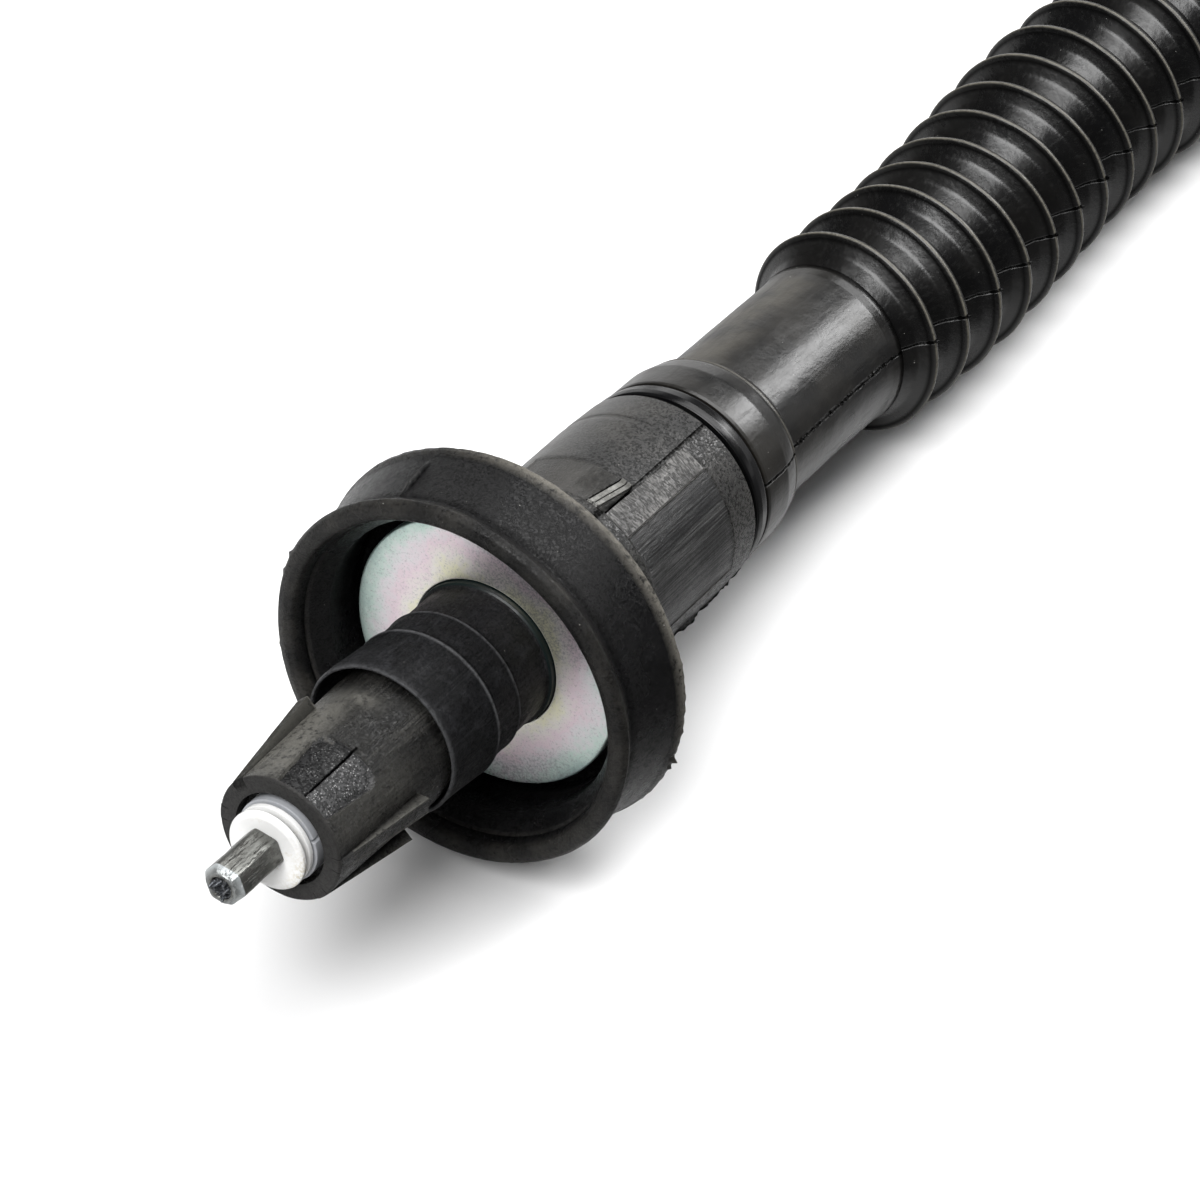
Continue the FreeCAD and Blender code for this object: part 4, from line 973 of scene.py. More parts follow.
@dataclass
class BracketSeat:
    """The big washer, the rubber cup round it and the stepped sleeve ahead of it."""

    washer_r: float = 20.0
    hole_r: float = 11.0
    washer_thick: float = 2.0
    tick_angle: float = -23.0
    lip_shift: float = 0.55
    lip_way: float = -55.0
    columns: int = 360
    rim_bits: tuple[Triple, ...] = (
        (-68.0, -8.3, 0.32), (-75.0, -8.2, 0.22), (-101.0, -8.4, 0.25), (107.0, 4.4, 0.75),
        (110.0, 4.4, 0.45), (96.0, 4.4, 0.25), (74.0, 4.4, 0.18))

    def washer(self) -> bpy.types.Object:
        """The zinc-plated washer with its edges broken by the punch.

        Returns:
            The washer.
        """
        outline = rounded([(0.0, self.hole_r, 0.15), (0.0, self.washer_r, 0.35),
                           (self.washer_thick, self.washer_r, 0.1), (self.washer_thick, self.hole_r, 0.1)],
                          longest=1.0)
        return from_rings("washer_plate", spun(outline, round_angles(180)), [ZincPlate()], sharp=50.0)

    def cup(self) -> bpy.types.Object:
        """The cup: beaded lip, grooved throat, cone, ragged rim, back web and hub.

        Returns:
            The cup.
        """
        outline = rounded([
            (-3.8, 22.0, 0.5), (-6.3, 23.55, 0.3), (-6.75, 24.1, 0.08), (-7.0, 23.9, 0.08),
            (-7.9, 24.15, 0.4), (-9.0, 24.5, 0.9), (-9.35, 25.6, 1.2), (-9.0, 26.8, 0.9),
            (-8.1, 27.25, 0.5), (-7.2, 26.75, 0.5), (-6.2, 26.15, 1.2), (-2.0, 26.75, 6.0),
            (2.4, 27.55, 2.0), (3.7, 27.95, 0.3), (4.4, 28.0, 0.25), (5.0, 27.45, 0.2),
            (5.6, 26.0, 0.5), (7.0, 18.6, 0.8), (12.6, 17.4, 0.5), (12.6, 14.3), (4.65, 14.3),
            (4.65, 17.4), (2.05, 17.4), (2.05, 18.75), (3.6, 18.75, 0.2), (3.6, 22.0, 0.4)],
            longest=1.3)
        ticks = [self.tick_angle + d for d in (-1.4, -0.7, -0.35, 0.0, 0.35, 0.7, 1.4)]
        angles = round_angles(self.columns, ticks)
        rings = spun(outline, angles, self.wear)
        x, r, turn = rings[..., 0], radius_of(rings), np.repeat(angles[None, :], len(outline), axis=0)
        tick = near_angle(turn, self.tick_angle)
        bar = window(x, -4.4, 0.6, 0.8) * (r > 26.0)
        patchy = np.clip(0.16 * (0.5 + 0.8 * field_of(x, r, turn, 0.22, 21.0)), 0.02, 0.3)
        # Lighter marks: the rim's edge, paler on one side; a painted highlight along the throat groove's edge and
        # on the tick bar's crest; a patchy band on the lip.
        rim_pale_side = 0.12 + 0.78 * window(near_angle(turn, 62.0), -68.0, 40.0, 30.0)
        edge = most(window(x, 3.6, 5.1, 0.5) * (r > 26.8) * rim_pale_side,
                    0.25 * bell(x, -6.55, 0.14) * (r < 24.4),
                    0.3 * bar * bell(tick, -0.4, 0.35),
                    patchy * window(x, -9.6, -7.1, 0.4) * (r > 24.2))
        # Dark marks: a line just ahead of the rim; painted shade in the well behind the washer, in the throat
        # groove and in the crease behind the lip bead; the tick bar's painted shadow.
        soot = most(0.5 * bell(x, 2.9, 0.3) * (r > 27.3),
                    0.8 * ((x > 1.9) & (x < 4.0) & (r < 22.3)),
                    0.9 * bell(x, -6.95, 0.16) * (r < 24.4),
                    0.5 * bell(x, -5.75, 0.5) * (r > 25.5),
                    0.8 * bar * bell(tick, 0.9, 0.45))
        return from_rings("cup_skin", rings, [CUP_RUBBER], edge=edge, soot=soot)

    def wear(self, x: np.ndarray, r: np.ndarray, turn: np.ndarray) -> tuple[np.ndarray, np.ndarray]:
        """Press the moulding's small faults into the cup.

        Args:
            x: Stations.
            r: Radii.
            turn: Angles.

        Returns:
            The changed stations and radii.
        """
        slow, quick = field_of(x, r, turn, 0.06, 3.0), field_of(x, r, turn, 0.9, 8.0)
        outer = ramp(r, 22.5, 24.0)
        flash = bell(x, 4.4, 0.5) * (r > 27.0)
        ragged = flash * (0.03 + 0.06 * window(near_angle(turn, 70.0), -60.0, 75.0, 30.0))
        tick = window(x, -4.4, 0.6, 1.0) * (r > 26.0) * bell(near_angle(turn, self.tick_angle), 0.0, 0.6)
        r = r + outer * (0.16 * slow + 0.03 * quick) + ragged * quick * 1.6 + 0.5 * tick
        for centre, at, rise in self.rim_bits:
            r = r + rise * (bell(near_angle(turn, centre), 0.0, 0.8) * bell(x, at, 0.4) * (r > 26.0))
        return x + outer * 0.12 * field_of(x, r, turn, 0.08, 17.0), r

    def sleeve(self) -> bpy.types.Object:
        """The stepped sleeve: flared lip, three bands with ridges between them, and a dark root.

        Returns:
            The sleeve.
        """
        outline = rounded([
            (2.0, 9.75), (-13.0, 9.75, 0.2), (-14.5, 10.5, 0.3), (-22.9, 10.62, 0.2), (-23.55, 10.75, 0.12),
            (-23.6, 11.05, 0.15), (-23.1, 11.22, 0.3), (-20.0, 11.15, 1.0), (-14.1, 11.15, 0.2),
            (-13.75, 11.27, 0.12), (-13.4, 11.2, 0.12), (-13.2, 10.85, 0.15), (-12.6, 10.75, 0.3),
            (-8.5, 10.75, 0.2), (-8.2, 10.85, 0.1), (-7.95, 10.78, 0.1), (-7.75, 10.45, 0.12),
            (-7.2, 10.38, 0.3), (-1.2, 10.38, 0.15), (-0.95, 10.62, 0.1), (-0.7, 10.85, 0.1), (2.0, 10.85)],
            steps=3, longest=0.9)
        rings = spun(outline, round_angles(240), self.sag)
        shift = ramp(-outline[:, 0], 15.0, 21.5)[:, None] * self.lip_shift
        way = math.radians(self.lip_way)
        rings[..., 1] += shift * math.cos(way)
        rings[..., 2] += shift * math.sin(way)
        x, r = (np.repeat(outline[:, k:k + 1], rings.shape[1], axis=1) for k in (0, 1))
        # Lighter lines on the two ridges and the lip's rim; painted shade in the crease at the foot of each step.
        edge = bell(x, -13.72, 0.2) + 0.8 * bell(x, -8.18, 0.2) + 0.55 * bell(x, -23.5, 0.35) * (r > 10.7)
        soot = bell(x, -13.0, 0.25) * 0.6 + bell(x, -7.6, 0.25) * 0.6
        zone = ((x > -1.1) & (r > 10.3)).astype(int)
        return from_rings("sleeve_skin", rings, [SLEEVE_RUBBER, ROOT_RUBBER], zone,
                          edge=np.clip(edge * (r > 10.3), 0, 1), soot=soot * (r > 10.3))

    @staticmethod
    def sag(x: np.ndarray, r: np.ndarray, turn: np.ndarray) -> tuple[np.ndarray, np.ndarray]:
        """Let the sleeve's thin lip run a little out of round, and leave its root alone.

        Args:
            x: Stations.
            r: Radii.
            turn: Angles.

        Returns:
            The changed stations and radii.
        """
        loose = ramp(-x, 13.0, 23.0)
        return (x + 0.25 * loose * field_of(x, r, turn, 0.12, 5.0),
                r + 0.02 * loose * field_of(x, r, turn, 0.5, 9.0))

    def make(self) -> None:
        """Build and dress the three pieces on the housing."""
        take_part(self.washer(), "housing", "zinc", "thrust_washer")
        take_part(self.cup(), "housing", "rubber", "rubber_cup")
        take_part(self.sleeve(), "housing", "rubber", "stepped_sleeve")


# ---------------------------------------------------------------- housing shells and ring

class Zone(Enum):
    """The moulded textures of a housing shell, in the order of its materials."""

    GRAINED = 0
    STRIP = 1
    BRUSHED = 2
    SATIN = 3
    LATCH = 4


@dataclass(frozen=True)
class Panel:
    """A sunk field of a shell, from the shell's own split."""

    turn: Pair
    run: Pair
    depth: float
    zone: Zone
    soft: float = 0.3


@dataclass
class AdjusterHousing:
    """Two equal half shells with sunk panels and a latch window, and the ring that holds them."""

    split: float = 22.1
    body_r: float = 15.25
    rear_r: float = 15.0
    band_r: float = 15.5
    front: float = 12.65
    rear: float = 44.15
    edge_wide: float = 0.12
    slant: float = 4.2
    strip_lean: float = 2.2
    panels: tuple[Panel, ...] = (
        Panel((0.9, 17.4), (18.75, 38.05), 0.15, Zone.STRIP),
        Panel((18.2, 79.0), (18.75, 38.05), 0.10, Zone.BRUSHED, 0.7),
        Panel((120.0, 172.0), (18.75, 25.9), 0.15, Zone.SATIN, 0.7),
        Panel((173.2, 180.0), (18.85, 25.5), 0.95, Zone.SATIN))
    ribs: tuple[Pair, ...] = ((173.7, 176.8), (177.1, 179.8))
    rib_run: Pair = (18.8, 25.6)
    rib_rise: float = 0.95
    gap_run: Pair = (18.9, 25.4)
    gap_depth: float = 1.6
    notch_run: Pair = (33.0, 33.5)
    notch_turn: Pair = (1.6, 4.6)
    notch_depth: float = 0.2
    ridge_at: float = 17.8
    ridge_rise: float = 0.10
    flash: float = 96.0

    def skin_radius(self, x: np.ndarray, turn: np.ndarray, degree: float) -> np.ndarray:
        """Radius of the shell's outside.

        Args:
            x: Stations.
            turn: Angles from the shell's split.
            degree: The width of an edge's slope in degrees.

        Returns:
            The radii.
        """
        r = self.band_r - (self.band_r - self.body_r) * ramp(x, 18.25, 18.75)
        r = r - (self.body_r - self.rear_r) * ramp(x, 37.9, 44.15)
        r = r - 0.07 * window(x, 37.2, 38.2, 0.4) * (1.0 - window(turn, 0.5, 100.0, 1.0))
        for panel in self.panels:
            r = r - panel.depth * window(x, *panel.run, panel.soft) * window(turn, *panel.turn, degree)
        for low, high in self.ribs:
            r = r + self.rib_rise * window(x, *self.rib_run, self.edge_wide) * window(turn, low, high, degree)
        r = r - self.gap_depth * window(x, *self.gap_run, self.edge_wide) * (1.0 - ramp(turn, 0.5, 1.0))
        r = r - window(x, *self.notch_run, 0.1) * window(turn, *self.notch_turn, 0.3) * self.notch_depth
        return r + self.ridge_rise * bell(turn, self.ridge_at, 0.35) * window(x, *self.panels[0].run, 0.3)

    def leaning(self, x: np.ndarray, turn: np.ndarray) -> np.ndarray:
        """Slant the latch ribs and the strip's upper edge, which don't run along the axis.

        Args:
            x: Stations.
            turn: Angles from the split, as the features are laid out.

        Returns:
            The angles at which they lie.
        """
        ribs = np.interp(turn, (150.0, 173.0, 179.8, 180.0), (0.0, 1.0, 1.0, 0.0))
        strip = np.interp(turn, (0.0, 0.9, 12.0), (0.0, 1.0, 0.0))
        slanted = turn - self.slant * ramp(x, *self.rib_run[::-1]) * ribs
        return slanted + self.strip_lean * ramp(x, 20.0, 38.0) * strip

    def shell(self, name: str, start: float) -> bpy.types.Object:
        """One half shell.

        Args:
            name: The object's name.
            start: The angle of its split.

        Returns:
            The object.
        """
        steps = [18.25, 18.75, 18.85, 25.5, 25.9, *self.notch_run, 37.2, 38.05]
        along = merged_lines(self.front, self.rear, 0.55, steps, self.edge_wide)
        degree = math.degrees(self.edge_wide / self.body_r)
        edges = [v for pair in [p.turn for p in self.panels] + list(self.ribs) for v in pair]
        edges += [0.5, *self.notch_turn, self.flash - 0.6, self.flash + 0.6]
        turns = merged_lines(0.0, 180.0, 1.25, edges, degree)
        inside = np.array([
            (44.15, 13.6), (48.35, 13.6), (48.35, 11.6), (57.45, 11.6), (57.45, 9.9), (46.5, 9.9),
            (46.5, 6.4), (43.0, 6.4), (43.0, 13.2), (6.0, 13.2), (6.0, 8.85), (-13.0, 8.85),
            (-13.0, 9.7), (2.0, 9.7), (2.0, 17.3), (4.6, 17.3), (4.6, 14.2), (12.65, 14.2)])
        x, turn = np.meshgrid(along, turns, indexing="ij")
        skin = self.skin_radius(x, turn, degree)
        skin = skin + 0.02 * field_of(x, skin, turn + start, 0.35, 2.0)
        flash_end = 44.0 if start < 180.0 else 23.5
        ragged = bell(turn, self.flash, 0.7) * window(x, 19.0, flash_end, 0.6)
        torn = 0.55 * field_of(x, skin, turn, 0.33, 30.0)
        skin = skin + ragged * (0.40 + torn + 0.55 * field_of(x, skin, turn, 1.2, 7.0))
        outer = polar(x, skin, self.leaning(x, turn) + start)
        rings = np.concatenate([outer, spun(inside, turns + start)])
        zone = np.zeros((len(rings), len(turns) - 1), int)
        cx, ct = ((along[:-1] + along[1:]) / 2)[:, None], ((turns[:-1] + turns[1:]) / 2)[None, :]
        fields = [(p.run, p.turn, p.zone) for p in self.panels]
        fields += [((18.7, 25.7), rib, Zone.LATCH) for rib in self.ribs]
        for run, arc, kind in fields:
            zone[:len(along) - 1][(cx > run[0]) & (cx < run[1]) & (ct > arc[0]) & (ct < arc[1])] = kind.value
        # Dark marks: the ragged flash, the split line and a line at the panels' rear step; painted shade in the
        # latch gap and the deep recess; a darker band beside the latch ribs.
        soot = 1.4 * ragged + most(bell(turn, 0.0, 0.4), bell(turn, 180.0, 0.2))
        soot += window(x, 18.8, 25.5, 0.1) * (skin < self.body_r - 0.55)
        soot += 0.35 * bell(x, 38.15, 0.12) * (turn > 18.0)
        soot += 0.45 * window(turn, 158.0, 173.0, 4.0) * window(x, 20.5, 25.9, 2.0)
        edge = 0.5 * bell(turn, self.ridge_at, 0.4) * window(x, *self.panels[0].run, 0.3)
        marks = {key: np.pad(values, ((0, len(inside)), (0, 0)))
                 for key, values in (("edge", edge), ("soot", np.clip(soot, 0.0, 1.0)))}
        return from_rings(name, rings, (GRAINED, STRIP, BRUSHED, SATIN, LATCH), zone, 30.0, False, **marks)

    def ring(self) -> bpy.types.Object:
        """The glossy ring that closes the shells at the rear.

        Returns:
            The ring.
        """
        outline = rounded([(45.4, 13.65), (45.4, 14.7, 0.4), (46.6, 14.78, 0.9), (48.3, 14.55, 0.5),
                           (48.3, 13.65)], steps=5, longest=0.4)
        return from_rings("closing_ring", spun(outline, round_angles(240)), [GLOSSY])

    def make(self) -> None:
        """Build and dress the shells and the ring."""
        take_part(self.shell("shell_right_skin", self.split), "housing", "nylon", "housing_shell_right")
        take_part(self.shell("shell_left_skin", self.split + 180.0), "housing", "nylon", "housing_shell_left")
        take_part(self.ring(), "housing", "black_acetal", "retaining_ring")


# ---------------------------------------------------------------- nose and its bush

@dataclass
class SnapNose:
    """The snap-in nose tube with its pockets and ribs, the white guide bush and the split collar."""

    split: float = 22.1
    front: float = -46.4
    front_r: float = 9.05
    rear_r: float = 9.75
    shoulder: float = -17.8
    pocket_half: float = 28.0
    pocket_flare: Pair = (0.92, 1.16)
    pocket_run: Pair = (-46.0, -35.8)
    pocket_corner: float = 2.2
    rib_turns: tuple[float, ...] = (68.8, 111.2, 248.8, 291.2)
    rib_half: float = 6.15
    rib_end: float = -30.0
    rib_rise: float = 1.78
    notch: float = 66.0

    def bare_radius(self, x: np.ndarray) -> np.ndarray:
        """Radius of the tapered tube without its pockets and ribs."""
        return self.front_r + (self.rear_r - self.front_r) * ramp(x, self.front, -22.0)

    def skin_radius(self, x: np.ndarray, turn: np.ndarray) -> np.ndarray:
        """Radius of the tube's outside.

        Args:
            x: Stations.
            turn: Angles from the tube's split.

        Returns:
            The radii.
        """
        r = self.bare_radius(x)
        corner = self.pocket_corner
        half = self.pocket_half * math.pi / 180.0 * self.front_r
        for centre in (0.0, 180.0):
            across = np.abs(near_angle(turn, centre)) * math.pi / 180.0 * self.front_r
            run = x - (self.pocket_run[1] - corner)
            beyond = np.hypot(np.maximum(run, 0.0), np.maximum(across - (half - corner), 0.0)) - corner
            r = r - 0.5 * ((1.0 - ramp(beyond, -0.12, 0.12)) * window(x, self.pocket_run[0], 0.0, 0.3))
            slit = window(x, -44.6, -35.2, 0.2) * bell(across, 0.0, 0.10)
            tick = window(x, -35.6, -35.25, 0.12) * (across < 0.9)
            r = r - 0.45 * most(slit, tick * 0.5)
        for centre in self.rib_turns:
            off = np.abs(near_angle(turn, centre))
            rise = self.rib_rise * ramp(x, self.front + 0.1, self.rib_end) + 0.05
            r = r + rise * (1.0 - ramp(off, self.rib_half, self.rib_half + 0.5)) * (
                1.0 - ramp(x, self.rib_end, self.rib_end + 0.12))
        return r

    def flared(self, x: np.ndarray, turn: np.ndarray) -> np.ndarray:
        """Widen the pockets towards the rear.

        Args:
            x: Stations.
            turn: Angles from the split, as the features are laid out.

        Returns:
            The angles at which they lie.
        """
        low, high = self.pocket_flare
        wide = low + (high - low) * ramp(x, *self.pocket_run)
        centre = np.round(turn / 180.0) * 180.0
        off = turn - centre
        part = np.interp(np.abs(off), (0.0, self.pocket_half + 1.0, 58.0), (1.0, 1.0, 0.0))
        return centre + off * (1.0 + (wide - 1.0) * part)

    def tube(self) -> bpy.types.Object:
        """The nose tube, closed by its inner walls.

        Returns:
            The tube.
        """
        along = merged_lines(self.front + 0.28, self.shoulder, 0.3,
                             [*self.pocket_run, -35.4, self.rib_end + 0.06], 0.12)
        offs = [0.0, 0.35, 0.7, 1.1, 1.6, self.pocket_half - 0.8, self.pocket_half, self.pocket_half + 0.8]
        sides = (self.rib_half, self.rib_half + 0.5)
        extra = [c + s * o for c in (0.0, 180.0) for o in offs for s in (-1, 1)]
        extra += [c + s * o for c in self.rib_turns for o in sides for s in (-1, 1)]
        turns = round_angles(240, extra)
        x, turn = np.meshgrid(along, turns, indexing="ij")
        skin = self.skin_radius(x, turn)
        skin = skin + 0.02 * field_of(x, skin, turn, 0.4, 12.0)
        outer = polar(x, skin, self.flared(x, turn) + self.split)
        rim = radius_of(outer[0])
        rounding = []
        for drop, back in ((0.28, 0.0), (0.10, 0.12)):
            row = outer[0] * ((rim - drop) / rim)[:, None]
            row[:, 0] = self.front + back
            rounding.append(row)
        face = np.array([(self.front + 0.3, 6.6), (self.front + 0.06, 6.66)] + [
            (self.front, r) for r in (6.95, 7.5, 8.2)])
        inside = rounded([(-44.4, 6.6), (-44.4, 5.95), (-36.0, 5.95), (-36.0, 6.2), (8.25, 6.2), (8.25, 12.8),
                          (6.05, 12.8), (6.05, 8.75), (self.shoulder, 8.75)], closed=False, longest=9.0)
        rings = np.concatenate([spun(face, turns + self.split), np.array(rounding), outer,
                                spun(inside[::-1], turns + self.split)])
        x, radius, turn = rings[..., 0], radius_of(rings), np.repeat(turns[None, :], len(rings), axis=0)
        off = np.minimum(np.abs(near_angle(turn, 0.0)), np.abs(near_angle(turn, 180.0)))
        rib_off = [np.abs(near_angle(turn, c)) for c in self.rib_turns]
        ribs = np.min(rib_off, axis=0)
        way = near_angle(turn + self.split, 0.0)
        shown, base = radius > 8.0, self.bare_radius(x)
        sunk = (off < self.pocket_half + 0.5) & shown & (radius < base - 0.3) & (x < -35.5) & (x > -46.1)
        zone = np.zeros(rings.shape[:2], int)
        # Each pocket's floor takes the lit copy on one half and the painted-shade copy on the other.
        zone[sunk] = 1
        zone[sunk & (near_angle(turn, 180.0 * np.round(turn / 180.0)) < 0.0)] = 3
        zone[(x < self.front + 0.2) & (radius > 6.0)] = 2
        crown = window(ribs, -9.0, self.rib_half + 0.1, 0.2) * (radius > base + 0.3)
        edge = 0.6 * crown * window(ribs, self.rib_half - 1.6, self.rib_half + 0.3, 0.6)
        before = shown & (x < self.rib_end)
        # Dark marks: the slit down each pocket, painted shadow along both sides of each snap rib, and painted
        # shade over one whole rib.
        soot = most(bell(off * math.pi / 180 * 9.0, 0.0, 0.16) * ((x > -46.0) & (x < -35.0) & shown),
                    0.8 * ((ribs > self.rib_half + 0.3) & (ribs < self.rib_half + 1.1) & before),
                    0.55 * ((rib_off[3] < self.rib_half + 0.4) & before))
        # Lighter marks: a rubbed patch ahead of the sleeve; painted light over the land on one side; a faint
        # lightening of the other land; a pale rim at each pocket's rear.
        worn = most(0.75 * bell(x, -27.5, 1.3) * bell(near_angle(way, -2.0), 0.0, 12.0),
                    0.8 * window(way, -60.0, -4.0, 16.0) * window(x, -46.2, -28.0, 6.0) * (zone == 0),
                    0.22 * window(way, 44.0, 80.0, 12.0) * window(x, -46.2, -30.0, 6.0) * (zone == 0),
                    0.7 * sunk * window(x, -36.3, -35.2, 0.1) * (way < 8.0))
        return from_rings("nose_skin", rings, (NOSE, POCKET_PAINTED_LIT, NOSE_FACE, POCKET_PAINTED_SHADE), zone, 32.0,
                          edge=np.clip(edge + worn * shown, 0, 1), soot=np.clip(soot, 0, 1))

    def bush(self) -> bpy.types.Object:
        """The white guide bush that stands out of the nose.

        Returns:
            The bush.
        """
        outline = rounded([
            (-49.3, 1.95, 0.1), (-49.38, 4.9, 0.5), (-49.2, 5.66, 0.25), (-48.62, 5.66, 0.12),
            (-48.57, 4.6, 0.1), (-47.65, 4.6, 0.1), (-47.6, 5.5, 0.10), (-46.95, 5.55, 0.12),
            (-46.9, 5.0, 0.1), (-44.35, 5.0), (-44.35, 5.9), (-37.05, 5.9), (-37.05, 2.75), (-42.1, 2.75),
            (-42.1, 1.95)], longest=0.8)
        rings = spun(outline, round_angles(160), self.handled)
        x, r = rings[..., 0], radius_of(rings)
        # Dark marks: the sides greyed behind the front face and more behind the groove; painted shade in the
        # groove and in the crease before the collar.
        groove = 0.55 * window(x, -48.5, -47.68, 0.1) * (r < 5.2)
        soot = most(0.10 * (x > -49.25) + 0.08 * (x > -47.9) + groove, 0.3 * window(x, -46.95, -46.7, 0.1))
        low = bell(near_angle(np.degrees(np.arctan2(rings[..., 2], rings[..., 1])), 105.0), 0.0, 38.0)
        return from_rings("bush_skin", rings, [WHITE], soot=soot, edge=low * ramp(r, 3.6, 5.4) * (x < -48.1))

    @staticmethod
    def handled(x: np.ndarray, r: np.ndarray, turn: np.ndarray) -> tuple[np.ndarray, np.ndarray]:
        """Soften the bush a little out of true, as a soft plastic turning is.

        Args:
            x: Stations.
            r: Radii.
            turn: Angles.

        Returns:
            The changed stations and radii.
        """
        out = (x < -46.8) * (r > 2.5)
        return (x + 0.05 * out * field_of(x, r, turn, 0.3, 4.0),
                r + 0.03 * out * field_of(x, r, turn, 0.25, 6.0))

    def nicked(self, x: np.ndarray, r: np.ndarray, turn: np.ndarray) -> tuple[np.ndarray, np.ndarray]:
        """Cut the V into the collar's front edge."""
        off = np.abs(near_angle(turn, self.notch))
        return x, np.where(r > 5.3, r - 0.55 * (1 - ramp(off, 0.5, 3.2)) * (1 - ramp(x, -46.5, -45.2)), r)

    def collar(self) -> bpy.types.Object:
        """The grey collar behind the bush, with the V notch of its split.

        Returns:
            The collar.
        """
        outline = rounded([(-46.7, 5.06), (-46.7, 5.87, 0.12), (-44.36, 5.87, 0.1), (-44.36, 5.06)],
                          steps=3, longest=0.3)
        angles = round_angles(160, [self.notch + d for d in (-3.2, -1.6, -0.6, 0.6, 1.6, 3.2)])
        return from_rings("collar_skin", spun(outline, angles, self.nicked), [GREY])

    def make(self) -> None:
        """Build and dress the three pieces on the nose."""
        take_part(self.tube(), "nose", "nose_nylon", "nose_tube")
        take_part(self.bush(), "nose", "white_acetal", "guide_bush")
        take_part(self.collar(), "nose", "grey_acetal", "bush_collar")


# ---------------------------------------------------------------- crimped wire tip

@dataclass
class WireTip:
    """The six-sided crimped sleeve and the ends of the wire's strands in its face."""

    front: float = -58.4
    rear: float = -49.4
    flats: float = 2.72
    uneven: tuple[float, ...] = (1.0, 1.05, 0.97, 1.02, 0.98, 1.04)
    corner_round: float = 9.0
    turn: float = 8.0
    shift: Pair = (0.22, -0.30)
    strand_r: float = 0.27
    rings: int = 3
    seed: int = 7

    def outline_radius(self, turn: np.ndarray, size: float) -> np.ndarray:
        """Radius of the crimp's six-sided section with softened corners.

        Args:
            turn: Angles.
            size: A factor on the section.

        Returns:
            The radii.
        """
        reach = np.zeros_like(turn)
        for k, wide in enumerate(self.uneven):
            part = np.maximum(np.cos(np.radians(turn - self.turn - 60.0 * k)), 0.0) / (self.flats * wide)
            reach = reach + part ** (self.corner_round * 2)
        return size / reach ** (1.0 / (self.corner_round * 2))

    def sleeve(self) -> bpy.types.Object:
        """The crimped sleeve: bevelled front, scored flats and a shallow socket for the strands.

        Returns:
            The sleeve.
        """
        front, rear = self.front, self.rear
        stations = [(rear, 0.985), (rear - 0.35, 1.0), (rear - 2.0, 1.0), (rear - 4.0, 0.99),
                    (rear - 6.0, 1.0), (front + 1.0, 1.0), (front + 0.85, 0.98), (front + 0.12, 0.80),
                    (front, 0.76)]
        turns = round_angles(144)
        rows = []
        for x, size in stations:
            rounder = 0.35 * ramp(np.array(size), 0.98, 0.72)
            r = self.outline_radius(turns, size) * (1 - rounder) + rounder * 2.2
            rows.append(polar(np.full_like(turns, x), r, turns))
        bore = spun(np.array([(front, 1.62), (front + 0.12, 1.5), (front + 0.4, 1.46), (rear, 1.72)]), turns)
        rings = np.concatenate([np.array(rows), bore])
        x, radius = rings[..., 0], radius_of(rings)
        rings[..., 1:] *= (1.0 + 0.025 * clouds(rings, 0.55, 2.0) * (radius > 1.8))[..., None]
        # A painted highlight along the bevel, brightest at its corner, which also lightens the front face.
        edge = (x < front + 0.9) * (radius > 1.7) * (0.35 + 0.65 * bell(x - front, 0.8, 0.3))
        rings[..., 1:] += self.shift
        return from_rings("crimp_skin", rings, [CRIMP], sharp=22.0, edge=edge)

    def strands(self) -> bpy.types.Object:
        """The strand ends: small rods set in rings in the sleeve's mouth, by Geometry Nodes.

        Returns:
            The strand ends.
        """
        maker = Maker("strand_ends", {"Strand Radius": self.strand_r, "Rings": self.rings, "Seed": self.seed,
                                      "Finish": FRAYED.material()})
        wire_r, rings, seed, _ = maker.given
        number = maker.index()
        ring = (((12.0 * number - 3.0).most(0.0).root() + 3.0) / 6.0).floor() * number.over(0.5)
        first = 3.0 * ring * ring - 3.0 * ring + 1.0
        angle = (number - first) * (2.0 * math.pi / 6.0) / ring.most(1.0) + ring * 0.35
        off = maker.lots((-0.16, -0.16, -0.5), (0.16, 0.16, 0.35), seed).parts()
        out = ring * wire_r * 2.1
        points = maker.put(maker.dots(3 * (rings * rings) - 3 * rings + 1),
                           maker.spot(out * angle.cos() + off[0], out * angle.sin() + off[1], off[2]))
        rod = maker.add("GeometryNodeMeshCone", {}, {
            "Vertices": 10, "Side Segments": 2, "Radius Top": wire_r * 0.6, "Radius Bottom": wire_r * 1.05,
            "Depth": 1.0}, "Mesh")
        lean = maker.lots((-0.6, -0.6, 0.0), (0.6, 0.6, 3.0), seed + 3.0)
        plain = maker.run(maker.strewn(points, rod, lean))
        return from_plain(plain, self.front + 0.25, -1.0, self.shift, 40.0)

    def make(self) -> None:
        """Build and dress the sleeve and the strands on the core."""
        take_part(self.sleeve(), "core", "steel", "crimp_sleeve")
        take_part(self.strands(), "core", "wire_steel")


# ---------------------------------------------------------------- bellows

